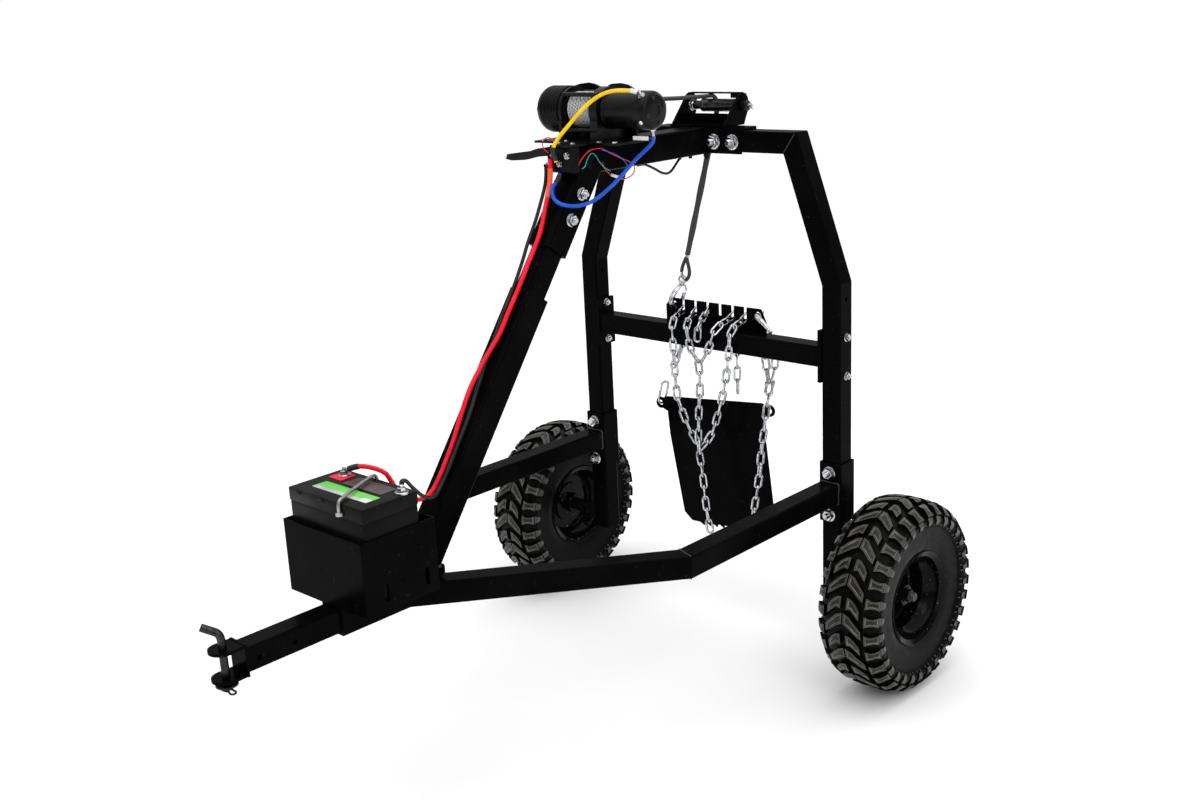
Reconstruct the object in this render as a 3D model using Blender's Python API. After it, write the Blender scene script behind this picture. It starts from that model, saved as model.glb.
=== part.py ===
"""Game cart: a two-wheeled hauling arch with a leaning mast, an electric winch, a fairlead over the arch,
chains and a skid plate under the cross beam, and a battery tray on the drawbar.

Units are metres, +Z up. The tongue points along -Y and the near side is +X. Positions are written with
y = 0 over the axle and are moved back by AXLE_Y when placed, so that the origin lies on the ground under
the middle of the whole cart.
"""
import math

import bmesh
import bpy
from mathutils import Matrix, Vector

# ---------------------------------------------------------------- driving dimensions
GAP = 0.0003                 # clearance that touching pieces keep
AXLE_Y = 0.6277              # axle's place along the cart, from the origin
TUBE = 0.0508                # 2 in square tube
TUBE_WALL = 0.003
BIG_TUBE = 0.0635            # 2.5 in square tube
BIG_WALL = 0.0055
PLATE = 0.006
CORNER = 0.004               # outer corner radius of square tube

WHEEL_X = 0.545              # wheel centre from the middle
WHEEL_R = 0.2305
TYRE_WIDTH = 0.178
RIM_R = 0.1016               # bead seat of an 8 in rim
SPINDLE_R = 0.0127
DISC_X = -0.012              # rim disc, inboard of the tyre's middle

UPRIGHT_X = 0.381
UPRIGHT_FOOT_Z = 0.195
UPRIGHT_BEND_Z = 0.957
ARCH_TOP_Z = 1.2751          # centre line of the arch's top beam
ARCH_TOP_X = 0.269           # centre line of the arch's top corner

CROSS_Z = 0.7828
CROSS_X = 0.349              # outer face of the cross beam's end plates
CROSS_BOLTS_Z = (0.7398, 0.8324)

ARM_Z = 0.4556
ARM_BEND_Y = -0.575
ARM_MEET_Y = -1.0416         # where the arms' centre lines would meet
SLEEVE_LOW_Z = 0.380
SLEEVE_HIGH_Z = 0.528
SLEEVE_BOLTS_Z = (0.3989, 0.5044)
SLEEVE_WALL = 0.0047

DRAWBAR_Z = 0.460
RECEIVER_FRONT_Y = -1.205
RECEIVER_BACK_Y = -0.938
TONGUE_FRONT_Y = -1.417
TONGUE_BACK_Y = -1.045
PIN_Y = -1.453
PIN_R = 0.0079
CLIP_Z = 0.4120

MAST_FOOT_Y = -0.9855
MAST_HEAD_Y = -0.418
MAST_BOLTS_Z = (1.1515, 1.2035)
BOOM_Z = 1.2754
SADDLE_X = 0.136
SADDLE_BOLTS_X = (-0.113, -0.058, 0.058, 0.113)

WINCH_Y = -0.385
WINCH_Z = 1.3777
GEAR_END_X = -0.1290
SOLENOID_STUDS = ((0.0062, 1.2720), (-0.0110, 1.2870), (-0.0270, 1.2680), (0.0300, 1.2900))
ROLLER_Y = 0.050
ROLLER_Z = 1.352
ROLLER_R = 0.016

PLATE_Y = 0.0287             # middle of the slotted chain plate
SLOT_X = [-0.102 + 0.0394 * i for i in range(6)]
SLOT_SEAT_Z = 0.838          # where a chain leaves its slot
SLOT_HALF = 0.0057           # half the width of a slot

TRAY_LOW_Z = 0.4923
TRAY_HIGH_Z = 0.645
BATTERY_TOP_Z = 0.709
CHAIN_R = 0.008

COLOURS = {
    "black_paint": ((0.012, 0.012, 0.013, 1.0), 0.28, 0.3),
    "black_plastic": ((0.015, 0.015, 0.016, 1.0), 0.5, 0.0),
    "rubber": ((0.028, 0.028, 0.030, 1.0), 0.75, 0.0),
    "zinc": ((0.62, 0.63, 0.64, 1.0), 0.3, 1.0),
    "rope_grey": ((0.22, 0.23, 0.24, 1.0), 0.8, 0.0),
    "yellow": ((0.85, 0.62, 0.02, 1.0), 0.4, 0.0),
    "blue": ((0.02, 0.12, 0.75, 1.0), 0.4, 0.0),
    "red": ((0.75, 0.01, 0.04, 1.0), 0.4, 0.0),
}


# ---------------------------------------------------------------- helpers
def clear_scene():
    for ob in list(bpy.data.objects):
        bpy.data.objects.remove(ob, do_unlink=True)


def material_for(name, colour):
    rgba, rough, metal = COLOURS[colour]
    mat = bpy.data.materials.new(name)
    mat.use_nodes = True
    shader = mat.node_tree.nodes["Principled BSDF"]
    shader.inputs["Base Color"].default_value = rgba
    shader.inputs["Roughness"].default_value = rough
    shader.inputs["Metallic"].default_value = metal
    return mat


def make_object(name, bm, colour, origin=(0.0, 0.0, 0.0), smooth=True):
    """Turns a bmesh in cart coordinates into an object whose origin is at `origin`."""
    origin = Vector(origin)
    bmesh.ops.translate(bm, verts=bm.verts, vec=-origin)
    bmesh.ops.recalc_face_normals(bm, faces=bm.faces)
    mesh = bpy.data.meshes.new(name)
    bm.to_mesh(mesh)
    bm.free()
    if smooth:
        mesh.shade_smooth()
        mesh.set_sharp_from_angle(angle=math.radians(35))
    ob = bpy.data.objects.new(name, mesh)
    ob.location = origin + Vector((0.0, AXLE_Y, 0.0))
    mesh.materials.append(material_for(name, colour))
    bpy.context.scene.collection.objects.link(ob)
    return ob


def boolean(ob, tool_bm, operation):
    """Cuts or joins a bmesh in cart coordinates with an object."""
    mesh = bpy.data.meshes.new(ob.name + "_tool")
    bmesh.ops.recalc_face_normals(tool_bm, faces=tool_bm.faces)
    tool_bm.to_mesh(mesh)
    tool_bm.free()
    tool = bpy.data.objects.new(ob.name + "_tool", mesh)
    tool.location = (0.0, AXLE_Y, 0.0)
    tool.hide_render = True
    tool.display_type = 'WIRE'
    bpy.context.scene.collection.objects.link(tool)
    modifier = ob.modifiers.new(operation.lower(), 'BOOLEAN')
    modifier.object = tool
    modifier.operation = operation
    modifier.solver = 'EXACT'


def add_box(bm, low, high):
    low, high = Vector(low), Vector(high)
    scale = Matrix.Diagonal((*(high - low), 1.0))
    found = bmesh.ops.create_cube(bm, size=1.0, matrix=Matrix.Translation((low + high) / 2) @ scale)
    return found["verts"]


def bevelled_box(low, high, width, segments=2):
    bm = bmesh.new()
    add_box(bm, low, high)
    bmesh.ops.bevel(bm, geom=bm.edges, offset=width, segments=segments, profile=0.5, affect='EDGES')
    return bm


def frame_along(direction):
    """Rotation whose Z axis points along the direction."""
    return Vector(direction).normalized().to_track_quat('Z', 'Y').to_matrix().to_4x4()


def add_turned(bm, profile, base, direction, sides=24):
    """A solid turned from (radius, distance) points, from the axis at its start to the axis at its end."""
    place = Matrix.Translation(Vector(base)) @ frame_along(direction)
    rings = []
    for radius, along in profile:
        ring = []
        for i in range(sides):
            a = 2 * math.pi * i / sides
            ring.append(bm.verts.new(place @ Vector((radius * math.cos(a), radius * math.sin(a), along))))
        rings.append(ring)
    for low, high in zip(rings, rings[1:]):
        for i in range(sides):
            j = (i + 1) % sides
            bm.faces.new((low[i], low[j], high[j], high[i]))
    bm.faces.new(rings[0][::-1])
    bm.faces.new(rings[-1])


def add_ring(bm, profile, base, direction, sides=40):
    """A ring turned from a closed outline of (radius, distance) points."""
    place = Matrix.Translation(Vector(base)) @ frame_along(direction)
    rings = []
    for i in range(sides):
        a = 2 * math.pi * i / sides
        rings.append([bm.verts.new(place @ Vector((r * math.cos(a), r * math.sin(a), d))) for r, d in profile])
    count = len(profile)
    for i in range(sides):
        here, after = rings[i], rings[(i + 1) % sides]
        for k in range(count):
            bm.faces.new((here[k], after[k], after[(k + 1) % count], here[(k + 1) % count]))


def add_rod(bm, start, end, radius, sides=16):
    start, end = Vector(start), Vector(end)
    add_turned(bm, [(radius, 0.0), (radius, (end - start).length)], start, end - start, sides)


def add_bolt_head(bm, base, direction, size=1.0):
    """Washer, hexagon and stud end, standing on a face; it starts 1 mm inside the wall it joins."""
    profile = [
        (0.0120 * size, -0.001),
        (0.0120 * size, 0.0022 * size),
        (0.0090 * size, 0.0023 * size),
        (0.0090 * size, 0.0100 * size),
        (0.0048 * size, 0.0102 * size),
        (0.0048 * size, 0.0160 * size),
    ]
    add_turned(bm, profile, base, direction, 8)


def add_closed_wire(bm, path, radius, sides=6):
    """Round wire along a closed path of points."""
    count = len(path)
    middle = sum(path, Vector()) / count
    rings = []
    for i, centre in enumerate(path):
        tangent = (path[(i + 1) % count] - path[i - 1]).normalized()
        normal = tangent.cross(centre - middle).normalized()
        cross = tangent.cross(normal)
        ring = []
        for k in range(sides):
            a = math.tau * k / sides
            ring.append(bm.verts.new(centre + cross * math.cos(a) * radius + normal * math.sin(a) * radius))
        rings.append(ring)
    for i, here in enumerate(rings):
        after = rings[(i + 1) % count]
        for k in range(sides):
            bm.faces.new((here[k], after[k], after[(k + 1) % sides], here[(k + 1) % sides]))


def square_outline(half, corner, steps=2):
    """Points of a square with rounded corners, anticlockwise."""
    points = []
    for quarter in range(4):
        centre = math.radians(45 + 90 * quarter)
        cx = math.copysign(half - corner, math.cos(centre))
        cy = math.copysign(half - corner, math.sin(centre))
        for step in range(steps + 1):
            a = math.radians(90 * quarter + 90 * step / steps)
            points.append((cx + corner * math.cos(a), cy + corner * math.sin(a)))
    return points


def square_tube(path, plane_normal, size, wall, start_cut=None, end_cut=None):
    """A hollow square tube along a flat path, mitred at its bends; the cuts are the end planes' normals."""
    path = [Vector(p) for p in path]
    normal = Vector(plane_normal).normalized()
    outer = square_outline(size / 2, CORNER)
    inner = square_outline(size / 2 - wall, CORNER * 0.4)
    legs = [(b - a).normalized() for a, b in zip(path, path[1:])]
    cuts = [Vector(start_cut or legs[0])]
    cuts += [(a + b) for a, b in zip(legs, legs[1:])]
    cuts += [Vector(end_cut or legs[-1])]
    bm = bmesh.new()
    loops = []
    for i, (point, cut) in enumerate(zip(path, cuts)):
        leg = legs[min(i, len(legs) - 1)]
        side = leg.cross(normal).normalized()
        loop = []
        for outline in (outer, inner):
            ring = []
            for u, v in outline:
                corner = point + side * u + normal * v
                slide = (point - corner).dot(cut) / leg.dot(cut)
                ring.append(bm.verts.new(corner + leg * slide))
            loop.append(ring)
        loops.append(loop)
    count = len(outer)
    for low, high in zip(loops, loops[1:]):
        for layer in (0, 1):
            for i in range(count):
                j = (i + 1) % count
                bm.faces.new((low[layer][i], low[layer][j], high[layer][j], high[layer][i]))
    for loop in (loops[0], loops[-1]):
        for i in range(count):
            j = (i + 1) % count
            bm.faces.new((loop[0][i], loop[0][j], loop[1][j], loop[1][i]))
    return bm


def plate_from_outline(points, thickness, place):
    """A flat plate: a closed outline in the local XY plane, thickened along local Z."""
    bm = bmesh.new()
    low = [bm.verts.new(place @ Vector((x, y, 0.0))) for x, y in points]
    high = [bm.verts.new(place @ Vector((x, y, thickness))) for x, y in points]
    bm.faces.new(low[::-1])
    bm.faces.new(high)
    for i in range(len(points)):
        j = (i + 1) % len(points)
        bm.faces.new((low[i], low[j], high[j], high[i]))
    return bm


def arc_points(cx, cy, radius, start, end, steps):
    """Points on an arc, in degrees, both ends included."""
    points = []
    for i in range(steps + 1):
        a = math.radians(start + (end - start) * i / steps)
        points.append((cx + radius * math.cos(a), cy + radius * math.sin(a)))
    return points


def smooth_route(points, spacing):
    """Evenly spaced points on a smooth curve through the given points."""
    pts = [Vector(p) for p in points]
    pts = [2 * pts[0] - pts[1]] + pts + [2 * pts[-1] - pts[-2]]
    fine = []
    for a, b, c, d in zip(pts, pts[1:], pts[2:], pts[3:]):
        for step in range(24):
            t = step / 24
            fine.append(0.5 * (2 * b + (c - a) * t + (2 * a - 5 * b + 4 * c - d) * t ** 2
                               + (3 * b - a - 3 * c + d) * t ** 3))
    fine.append(pts[-2])
    length = sum((b - a).length for a, b in zip(fine, fine[1:]))
    count = max(2, round(length / spacing))
    even, travelled, wanted = [fine[0]], 0.0, length / count
    for a, b in zip(fine, fine[1:]):
        step = (b - a).length
        while travelled + step >= wanted * len(even) - 1e-9 and len(even) < count:
            even.append(a.lerp(b, (wanted * len(even) - travelled) / step))
        travelled += step
    even.append(fine[-1])
    return even


def cord(name, points, diameter, colour, spacing=2.6, resolution=2):
    """A curve with round section and filled caps, through the route's points in cart coordinates."""
    curve = bpy.data.curves.new(name, 'CURVE')
    curve.dimensions = '3D'
    curve.bevel_depth = diameter / 2
    curve.bevel_resolution = resolution
    curve.use_fill_caps = True
    route = smooth_route(points, diameter * spacing)
    spline = curve.splines.new('POLY')
    spline.points.add(len(route) - 1)
    for point, place in zip(spline.points, route):
        point.co = (place.x, place.y, place.z, 1.0)
    ob = bpy.data.objects.new(name, curve)
    ob.location = (0.0, AXLE_Y, 0.0)
    curve.materials.append(material_for(name, colour))
    bpy.context.scene.collection.objects.link(ob)
    return ob


# ---------------------------------------------------------------- wheels
def build_wheel(side, label):
    x = side * WHEEL_X
    out = (side, 0.0, 0.0)
    centre = (x, 0.0, WHEEL_R)
    half = TYRE_WIDTH / 2
    seat = 0.057                      # half width over the beads
    outer = [(RIM_R + 0.0014, seat - 0.001), (RIM_R + 0.022, seat + 0.004), (0.166, 0.069), (0.184, 0.085)]
    outer += [(0.198, half), (0.2185, half - 0.017), (WHEEL_R, half - 0.050)]
    inner = [(0.217, half - 0.054), (0.205, half - 0.024), (0.184, 0.074), (0.166, 0.058)]
    inner += [(RIM_R + 0.0014, seat - 0.012)]
    profile = outer + [(r, -d) for r, d in reversed(outer)]
    profile += [(r, -d) for r, d in reversed(inner)] + inner
    bm = bmesh.new()
    add_ring(bm, profile, centre, out, 36)
    make_object("tyre_" + label, bm, "rubber", centre)

    lip = RIM_R + 0.012
    barrel = [(lip, seat + 0.0055), (lip, seat + 0.0030), (RIM_R + 0.0004, seat), (RIM_R - 0.001, seat - 0.020)]
    barrel += [(0.084, 0.023), (0.084, -0.023), (RIM_R - 0.001, -seat + 0.020), (RIM_R + 0.0004, -seat)]
    barrel += [(lip, -seat - 0.0030), (lip, -seat - 0.0055), (RIM_R - 0.006, -seat - 0.001), (0.080, -0.024)]
    barrel += [(0.080, DISC_X - 0.004), (0.030, DISC_X - 0.004), (0.030, DISC_X), (0.080, DISC_X)]
    barrel += [(0.080, 0.024), (RIM_R - 0.006, seat + 0.001)]
    bm = bmesh.new()
    add_ring(bm, barrel, centre, out, 32)
    make_object("rim_" + label, bm, "black_paint", centre)

    hub = [(SPINDLE_R + GAP, -0.045), (0.0275, -0.045), (0.0275, DISC_X - 0.012), (0.056, DISC_X - 0.011)]
    hub += [(0.056, DISC_X - 0.0045), (0.0295, DISC_X - 0.0045), (0.0290, 0.020), (0.024, 0.029)]
    hub += [(SPINDLE_R + GAP, 0.029)]
    bm = bmesh.new()
    add_ring(bm, hub, centre, out, 24)
    make_object("hub_" + label, bm, "black_paint", centre)

    bm = bmesh.new()
    start = side * (UPRIGHT_X + TUBE / 2 + GAP)
    shoulder = WHEEL_X - 0.046 - UPRIGHT_X - TUBE / 2
    tip = WHEEL_X + 0.0285 - UPRIGHT_X - TUBE / 2
    profile = [(0.024, 0.0), (0.024, 0.012), (0.0175, 0.014), (0.0175, shoulder), (SPINDLE_R, shoulder)]
    profile += [(SPINDLE_R, tip)]
    add_turned(bm, profile, (start, 0.0, WHEEL_R), out, 24)
    make_object("spindle_" + label, bm, "zinc")


# ---------------------------------------------------------------- frame
def build_upright(side, label):
    path = [
        (side * UPRIGHT_X, 0.0, UPRIGHT_FOOT_Z),
        (side * UPRIGHT_X, 0.0, UPRIGHT_BEND_Z),
        (side * (ARCH_TOP_X + GAP), 0.0, ARCH_TOP_Z),
    ]
    lean = (Vector(path[2]) - Vector(path[1])).normalized()
    mitre = lean + Vector((-side, 0.0, 0.0))
    bm = square_tube(path, (0.0, 1.0, 0.0), TUBE, TUBE_WALL, end_cut=mitre)
    ob = make_object("upright_" + label, bm, "black_paint")
    holes = bmesh.new()
    add_rod(holes, (side * (UPRIGHT_X + 0.05), 0.0, 0.9219), (side * (UPRIGHT_X - 0.05), 0.0, 0.9219), 0.0055, 12)
    boolean(ob, holes, 'DIFFERENCE')
    heads = bmesh.new()
    for z in CROSS_BOLTS_Z:
        add_bolt_head(heads, (side * (UPRIGHT_X + TUBE / 2), 0.0, z), (side, 0.0, 0.0), 0.8)
    boolean(ob, heads, 'UNION')


def build_arch_beam():
    corner = Vector((ARCH_TOP_X - UPRIGHT_X, 0.0, ARCH_TOP_Z - UPRIGHT_BEND_Z)).normalized()
    right = Vector((-1.0, 0.0, 0.0)) + corner
    left = Vector((right.x, 0.0, -right.z))
    path = [(-ARCH_TOP_X + GAP, 0.0, ARCH_TOP_Z), (ARCH_TOP_X - GAP, 0.0, ARCH_TOP_Z)]
    bm = square_tube(path, (0.0, 1.0, 0.0), TUBE, TUBE_WALL, start_cut=-left, end_cut=-right)
    make_object("arch_beam", bm, "black_paint")


def build_cross_beam():
    end = CROSS_X + 0.0017
    bm = square_tube([(-end, 0.0, CROSS_Z), (end, 0.0, CROSS_Z)], (0.0, 1.0, 0.0), TUBE, TUBE_WALL)
    ob = make_object("cross_beam", bm, "black_paint")
    ends = bmesh.new()
    for side in (-1, 1):
        a, b = side * (CROSS_X - 0.002), side * (UPRIGHT_X - TUBE / 2 - GAP)
        add_box(ends, (min(a, b), -0.030, 0.722), (max(a, b), 0.030, 0.848))
    boolean(ob, ends, 'UNION')
    heads = bmesh.new()
    for side in (-1, 1):
        for z in CROSS_BOLTS_Z:
            shift = 0.003 if z > CROSS_Z else -0.003
            add_bolt_head(heads, (side * (CROSS_X - 0.002), 0.0, z + shift), (-side, 0.0, 0.0), 0.8)
    boolean(ob, heads, 'UNION')
    vents = bmesh.new()
    for side in (-1, 1):
        add_rod(vents, (side * (CROSS_X - 0.010), 0.0, CROSS_Z), (side * (CROSS_X + 0.010), 0.0, CROSS_Z), 0.009, 12)
    boolean(ob, vents, 'DIFFERENCE')


def build_arm(side, label):
    face = BIG_TUBE / 2 + GAP
    slope = (ARM_MEET_Y - ARM_BEND_Y) / UPRIGHT_X
    path = [
        (side * UPRIGHT_X, -TUBE / 2 - SLEEVE_WALL - 2 * GAP, ARM_Z),
        (side * UPRIGHT_X, ARM_BEND_Y, ARM_Z),
        (side * face, ARM_MEET_Y - slope * face, ARM_Z),
    ]
    bm = square_tube(path, (0.0, 0.0, 1.0), TUBE, TUBE_WALL, end_cut=(-side, 0.0, 0.0))
    make_object("arm_" + label, bm, "black_paint")


def build_arm_sleeve(side, label):
    path = [(side * UPRIGHT_X, 0.0, SLEEVE_LOW_Z), (side * UPRIGHT_X, 0.0, SLEEVE_HIGH_Z)]
    size = TUBE + 2 * (GAP + SLEEVE_WALL)
    bm = square_tube(path, (0.0, 1.0, 0.0), size, SLEEVE_WALL)
    ob = make_object("arm_sleeve_" + label, bm, "black_paint")
    heads = bmesh.new()
    for z in SLEEVE_BOLTS_Z:
        for way in (-1, 1):
            add_bolt_head(heads, (side * UPRIGHT_X, way * size / 2, z), (0.0, way, 0.0), 1.3)
    boolean(ob, heads, 'UNION')


def build_drawbar():
    path = [(0.0, RECEIVER_FRONT_Y, DRAWBAR_Z), (0.0, RECEIVER_BACK_Y, DRAWBAR_Z)]
    bm = square_tube(path, (0.0, 0.0, 1.0), BIG_TUBE, BIG_WALL)
    ob = make_object("receiver_tube", bm, "black_paint")
    head = bmesh.new()
    add_bolt_head(head, (BIG_TUBE / 2, -1.1615, 0.470), (1.0, 0.0, 0.0), 0.8)
    boolean(ob, head, 'UNION')

    path = [(0.0, TONGUE_FRONT_Y, DRAWBAR_Z), (0.0, TONGUE_BACK_Y, DRAWBAR_Z)]
    bm = square_tube(path, (0.0, 0.0, 1.0), TUBE, TUBE_WALL)
    ob = make_object("tongue_tube", bm, "black_paint")
    holes = bmesh.new()
    for y in (-1.393, -1.313):
        add_rod(holes, (-0.05, y, DRAWBAR_Z - 0.003), (0.05, y, DRAWBAR_Z - 0.003), 0.0055, 12)
    boolean(ob, holes, 'DIFFERENCE')


def build_hitch():
    """Two ears with a web between them across the tongue's end, the bent pin and its clip."""
    back = TONGUE_FRONT_Y - GAP
    bm = bmesh.new()
    add_box(bm, (-TUBE / 2, back - 0.005, DRAWBAR_Z - 0.033), (TUBE / 2, back, DRAWBAR_Z + 0.033))
    ob = make_object("hitch_clevis", bm, "black_paint")
    for low, high in ((DRAWBAR_Z + TUBE / 2 + GAP, 0.006), (DRAWBAR_Z - TUBE / 2 - GAP - 0.006, 0.006)):
        outline = [(TUBE / 2, back - 0.001), (-TUBE / 2, back - 0.001)]
        outline += [(x, y) for x, y in arc_points(0.0, PIN_Y, 0.0275, 178, 362, 12)]
        ear = plate_from_outline(outline, high, Matrix.Translation((0.0, 0.0, low)))
        boolean(ob, ear, 'UNION')
    bore = bmesh.new()
    add_rod(bore, (0.0, PIN_Y, 0.40), (0.0, PIN_Y, 0.52), PIN_R + 0.0006, 24)
    boolean(ob, bore, 'DIFFERENCE')

    # the pin turns about its shaft; its handle leans forward and away
    bm = bmesh.new()
    foot, knee, tip = Vector((0.0, PIN_Y, 0.4060)), Vector((0.0, PIN_Y, 0.5200)), Vector((-0.0225, -1.4790, 0.5365))
    points = [foot, foot.lerp(knee, 0.94)]
    points += [knee.lerp(tip, 0.10) + Vector((0.0, 0.0, -0.001)), knee.lerp(tip, 0.30), tip]
    sides = 16
    rings = []
    for i, point in enumerate(points):
        ahead = points[min(i + 1, len(points) - 1)] - points[max(i - 1, 0)]
        turn = frame_along((0.0, 0.0, 1.0) if i < 2 else ahead)
        ring = []
        for k in range(sides):
            a = 2 * math.pi * k / sides
            ring.append(bm.verts.new(point + turn @ Vector((PIN_R * math.cos(a), PIN_R * math.sin(a), 0.0))))
        rings.append(ring)
    for low, high in zip(rings, rings[1:]):
        offset = min(range(sides), key=lambda s: (high[s].co - low[0].co).length)
        for k in range(sides):
            j = (k + 1) % sides
            bm.faces.new((low[k], low[j], high[(j + offset) % sides], high[(k + offset) % sides]))
    bm.faces.new(rings[0][::-1])
    bm.faces.new(rings[-1])
    ob = make_object("hitch_pin", bm, "zinc", (0.0, PIN_Y, DRAWBAR_Z))
    washer = bmesh.new()
    add_turned(washer, [(0.0215, 0.0), (0.0215, 0.003)], (0.0, PIN_Y, CLIP_Z + 0.0045), (0, 0, 1), 28)
    boolean(ob, washer, 'UNION')
    bore = bmesh.new()
    add_rod(bore, (-0.02, PIN_Y, CLIP_Z), (0.02, PIN_Y, CLIP_Z), 0.0017, 10)
    boolean(ob, bore, 'DIFFERENCE')

    # hairpin: its straight leg goes through the pin, its bowed leg springs round the pin's side
    bm = bmesh.new()
    add_rod(bm, (-0.014, PIN_Y, CLIP_Z), (0.030, PIN_Y, CLIP_Z), 0.0014, 8)
    ob = make_object("hitch_clip", bm, "zinc", (0.0, PIN_Y, CLIP_Z))
    loop = bmesh.new()
    outline = [(0.0030 + 0.0014 * math.cos(math.radians(a)), 0.0014 * math.sin(math.radians(a)))
               for a in range(0, 360, 45)]
    add_ring(loop, outline, (0.030, PIN_Y - 0.0030, CLIP_Z), (0.0, 0.0, 1.0), 14)
    boolean(ob, loop, 'UNION')


def mast_point(height):
    """Point on the mast's centre line at a height."""
    foot = Vector((0.0, MAST_FOOT_Y, DRAWBAR_Z + BIG_TUBE / 2 + GAP))
    head = Vector((0.0, MAST_HEAD_Y, BOOM_Z))
    return foot.lerp(head, (height - foot.z) / (head.z - foot.z))


def build_mast():
    normal = (1.0, 0.0, 0.0)
    foot_z = DRAWBAR_Z + BIG_TUBE / 2 + GAP
    path = [mast_point(foot_z), mast_point(1.003)]
    bm = square_tube(path, normal, BIG_TUBE, BIG_WALL, start_cut=(0.0, 0.0, 1.0))
    make_object("mast_lower", bm, "black_paint")

    bm = square_tube([mast_point(0.86), mast_point(1.215)], normal, TUBE, 0.004)
    make_object("mast_inner", bm, "black_paint")

    lean = (mast_point(1.2) - mast_point(1.1)).normalized()
    mitre = lean + Vector((0.0, 1.0, 0.0))
    bm = square_tube([mast_point(1.088), mast_point(BOOM_Z - GAP)], normal, BIG_TUBE, BIG_WALL, end_cut=mitre)
    ob = make_object("mast_head", bm, "black_paint")
    heads = bmesh.new()
    for z in MAST_BOLTS_Z:
        spot = mast_point(z)
        for way in (-1, 1):
            add_bolt_head(heads, (way * BIG_TUBE / 2, spot.y, spot.z), (way, 0.0, 0.0))
    boolean(ob, heads, 'UNION')

    back = -TUBE / 2 - PLATE - 2 * GAP
    path = [(0.0, MAST_HEAD_Y + GAP, BOOM_Z), (0.0, back, BOOM_Z)]
    bm = square_tube(path, normal, BIG_TUBE, BIG_WALL, start_cut=mitre)
    make_object("boom", bm, "black_paint")


def build_arch_saddle():
    """Channel that sits over the arch's top beam and carries the boom and the fairlead."""
    inside = TUBE / 2 + GAP
    outside = inside + PLATE
    top = ARCH_TOP_Z + inside
    bm = bmesh.new()
    add_box(bm, (-SADDLE_X, -outside, top), (SADDLE_X, outside, top + PLATE))
    ob = make_object("arch_saddle", bm, "black_paint")
    for way in (-1, 1):
        cheek = bmesh.new()
        a, b = way * inside, way * outside
        add_box(cheek, (-SADDLE_X, min(a, b), 1.246), (SADDLE_X, max(a, b), top + 0.003))
        boolean(ob, cheek, 'UNION')
    heads = bmesh.new()
    for x in SADDLE_BOLTS_X:
        for way in (-1, 1):
            add_bolt_head(heads, (x, way * outside, 1.274), (0.0, way, 0.0), 1.45)
    boolean(ob, heads, 'UNION')


# ---------------------------------------------------------------- fairlead
def build_fairlead():
    """Two cheeks on a base over the saddle, with a roller that turns on the bolt between them."""
    base = ARCH_TOP_Z + TUBE / 2 + 2 * GAP + PLATE
    bm = bmesh.new()
    add_box(bm, (-0.080, -0.028, base), (0.084, 0.054, base + 0.005))
    ob = make_object("fairlead_bracket", bm, "black_paint")
    for x in (-0.080, 0.078):
        outline = [(-0.027, base), (0.053, base), (0.0705, ROLLER_Z - 0.010)]
        outline += arc_points(ROLLER_Y - 0.001, ROLLER_Z + 0.008, 0.0225, -8, 128, 7)
        turn = Matrix(((0, 0, 1, x), (1, 0, 0, 0), (0, 1, 0, 0), (0, 0, 0, 1)))
        boolean(ob, plate_from_outline(outline, 0.006, turn), 'UNION')
    strap = bmesh.new()
    add_box(strap, (-0.076, 0.040, ROLLER_Z + 0.0280), (0.080, 0.058, ROLLER_Z + 0.0312))
    boolean(ob, strap, 'UNION')
    wall = bmesh.new()
    add_box(wall, (-0.076, 0.036, base + 0.002), (0.080, 0.041, ROLLER_Z - 0.027))
    boolean(ob, wall, 'UNION')
    bore = bmesh.new()
    add_rod(bore, (-0.10, ROLLER_Y, ROLLER_Z), (0.10, ROLLER_Y, ROLLER_Z), 0.0069, 20)
    boolean(ob, bore, 'DIFFERENCE')

    bm = bmesh.new()
    profile = [(0.0069, -0.0735), (0.0105, -0.0735), (0.0105, -0.0380), (ROLLER_R - 0.0015, -0.0380)]
    profile += [(ROLLER_R, -0.0365), (ROLLER_R, 0.0650), (ROLLER_R - 0.0015, 0.0665), (0.0105, 0.0665)]
    profile += [(0.0105, 0.0775), (0.0069, 0.0775)]
    add_ring(bm, profile, (0.0, ROLLER_Y, ROLLER_Z), (1.0, 0.0, 0.0), 28)
    make_object("fairlead_roller", bm, "zinc", (0.0, ROLLER_Y, ROLLER_Z))

    bm = bmesh.new()
    profile = [(0.0115, 0.0), (0.0115, 0.009), (0.0064, 0.0091), (0.0064, 0.1745), (0.0135, 0.1747)]
    profile += [(0.0135, 0.1765), (0.0125, 0.1766), (0.0125, 0.1875), (0.0064, 0.1877), (0.0064, 0.1950)]
    add_turned(bm, profile, (-0.0895, ROLLER_Y, ROLLER_Z), (1.0, 0.0, 0.0), 20)
    make_object("fairlead_bolt", bm, "zinc")


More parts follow.
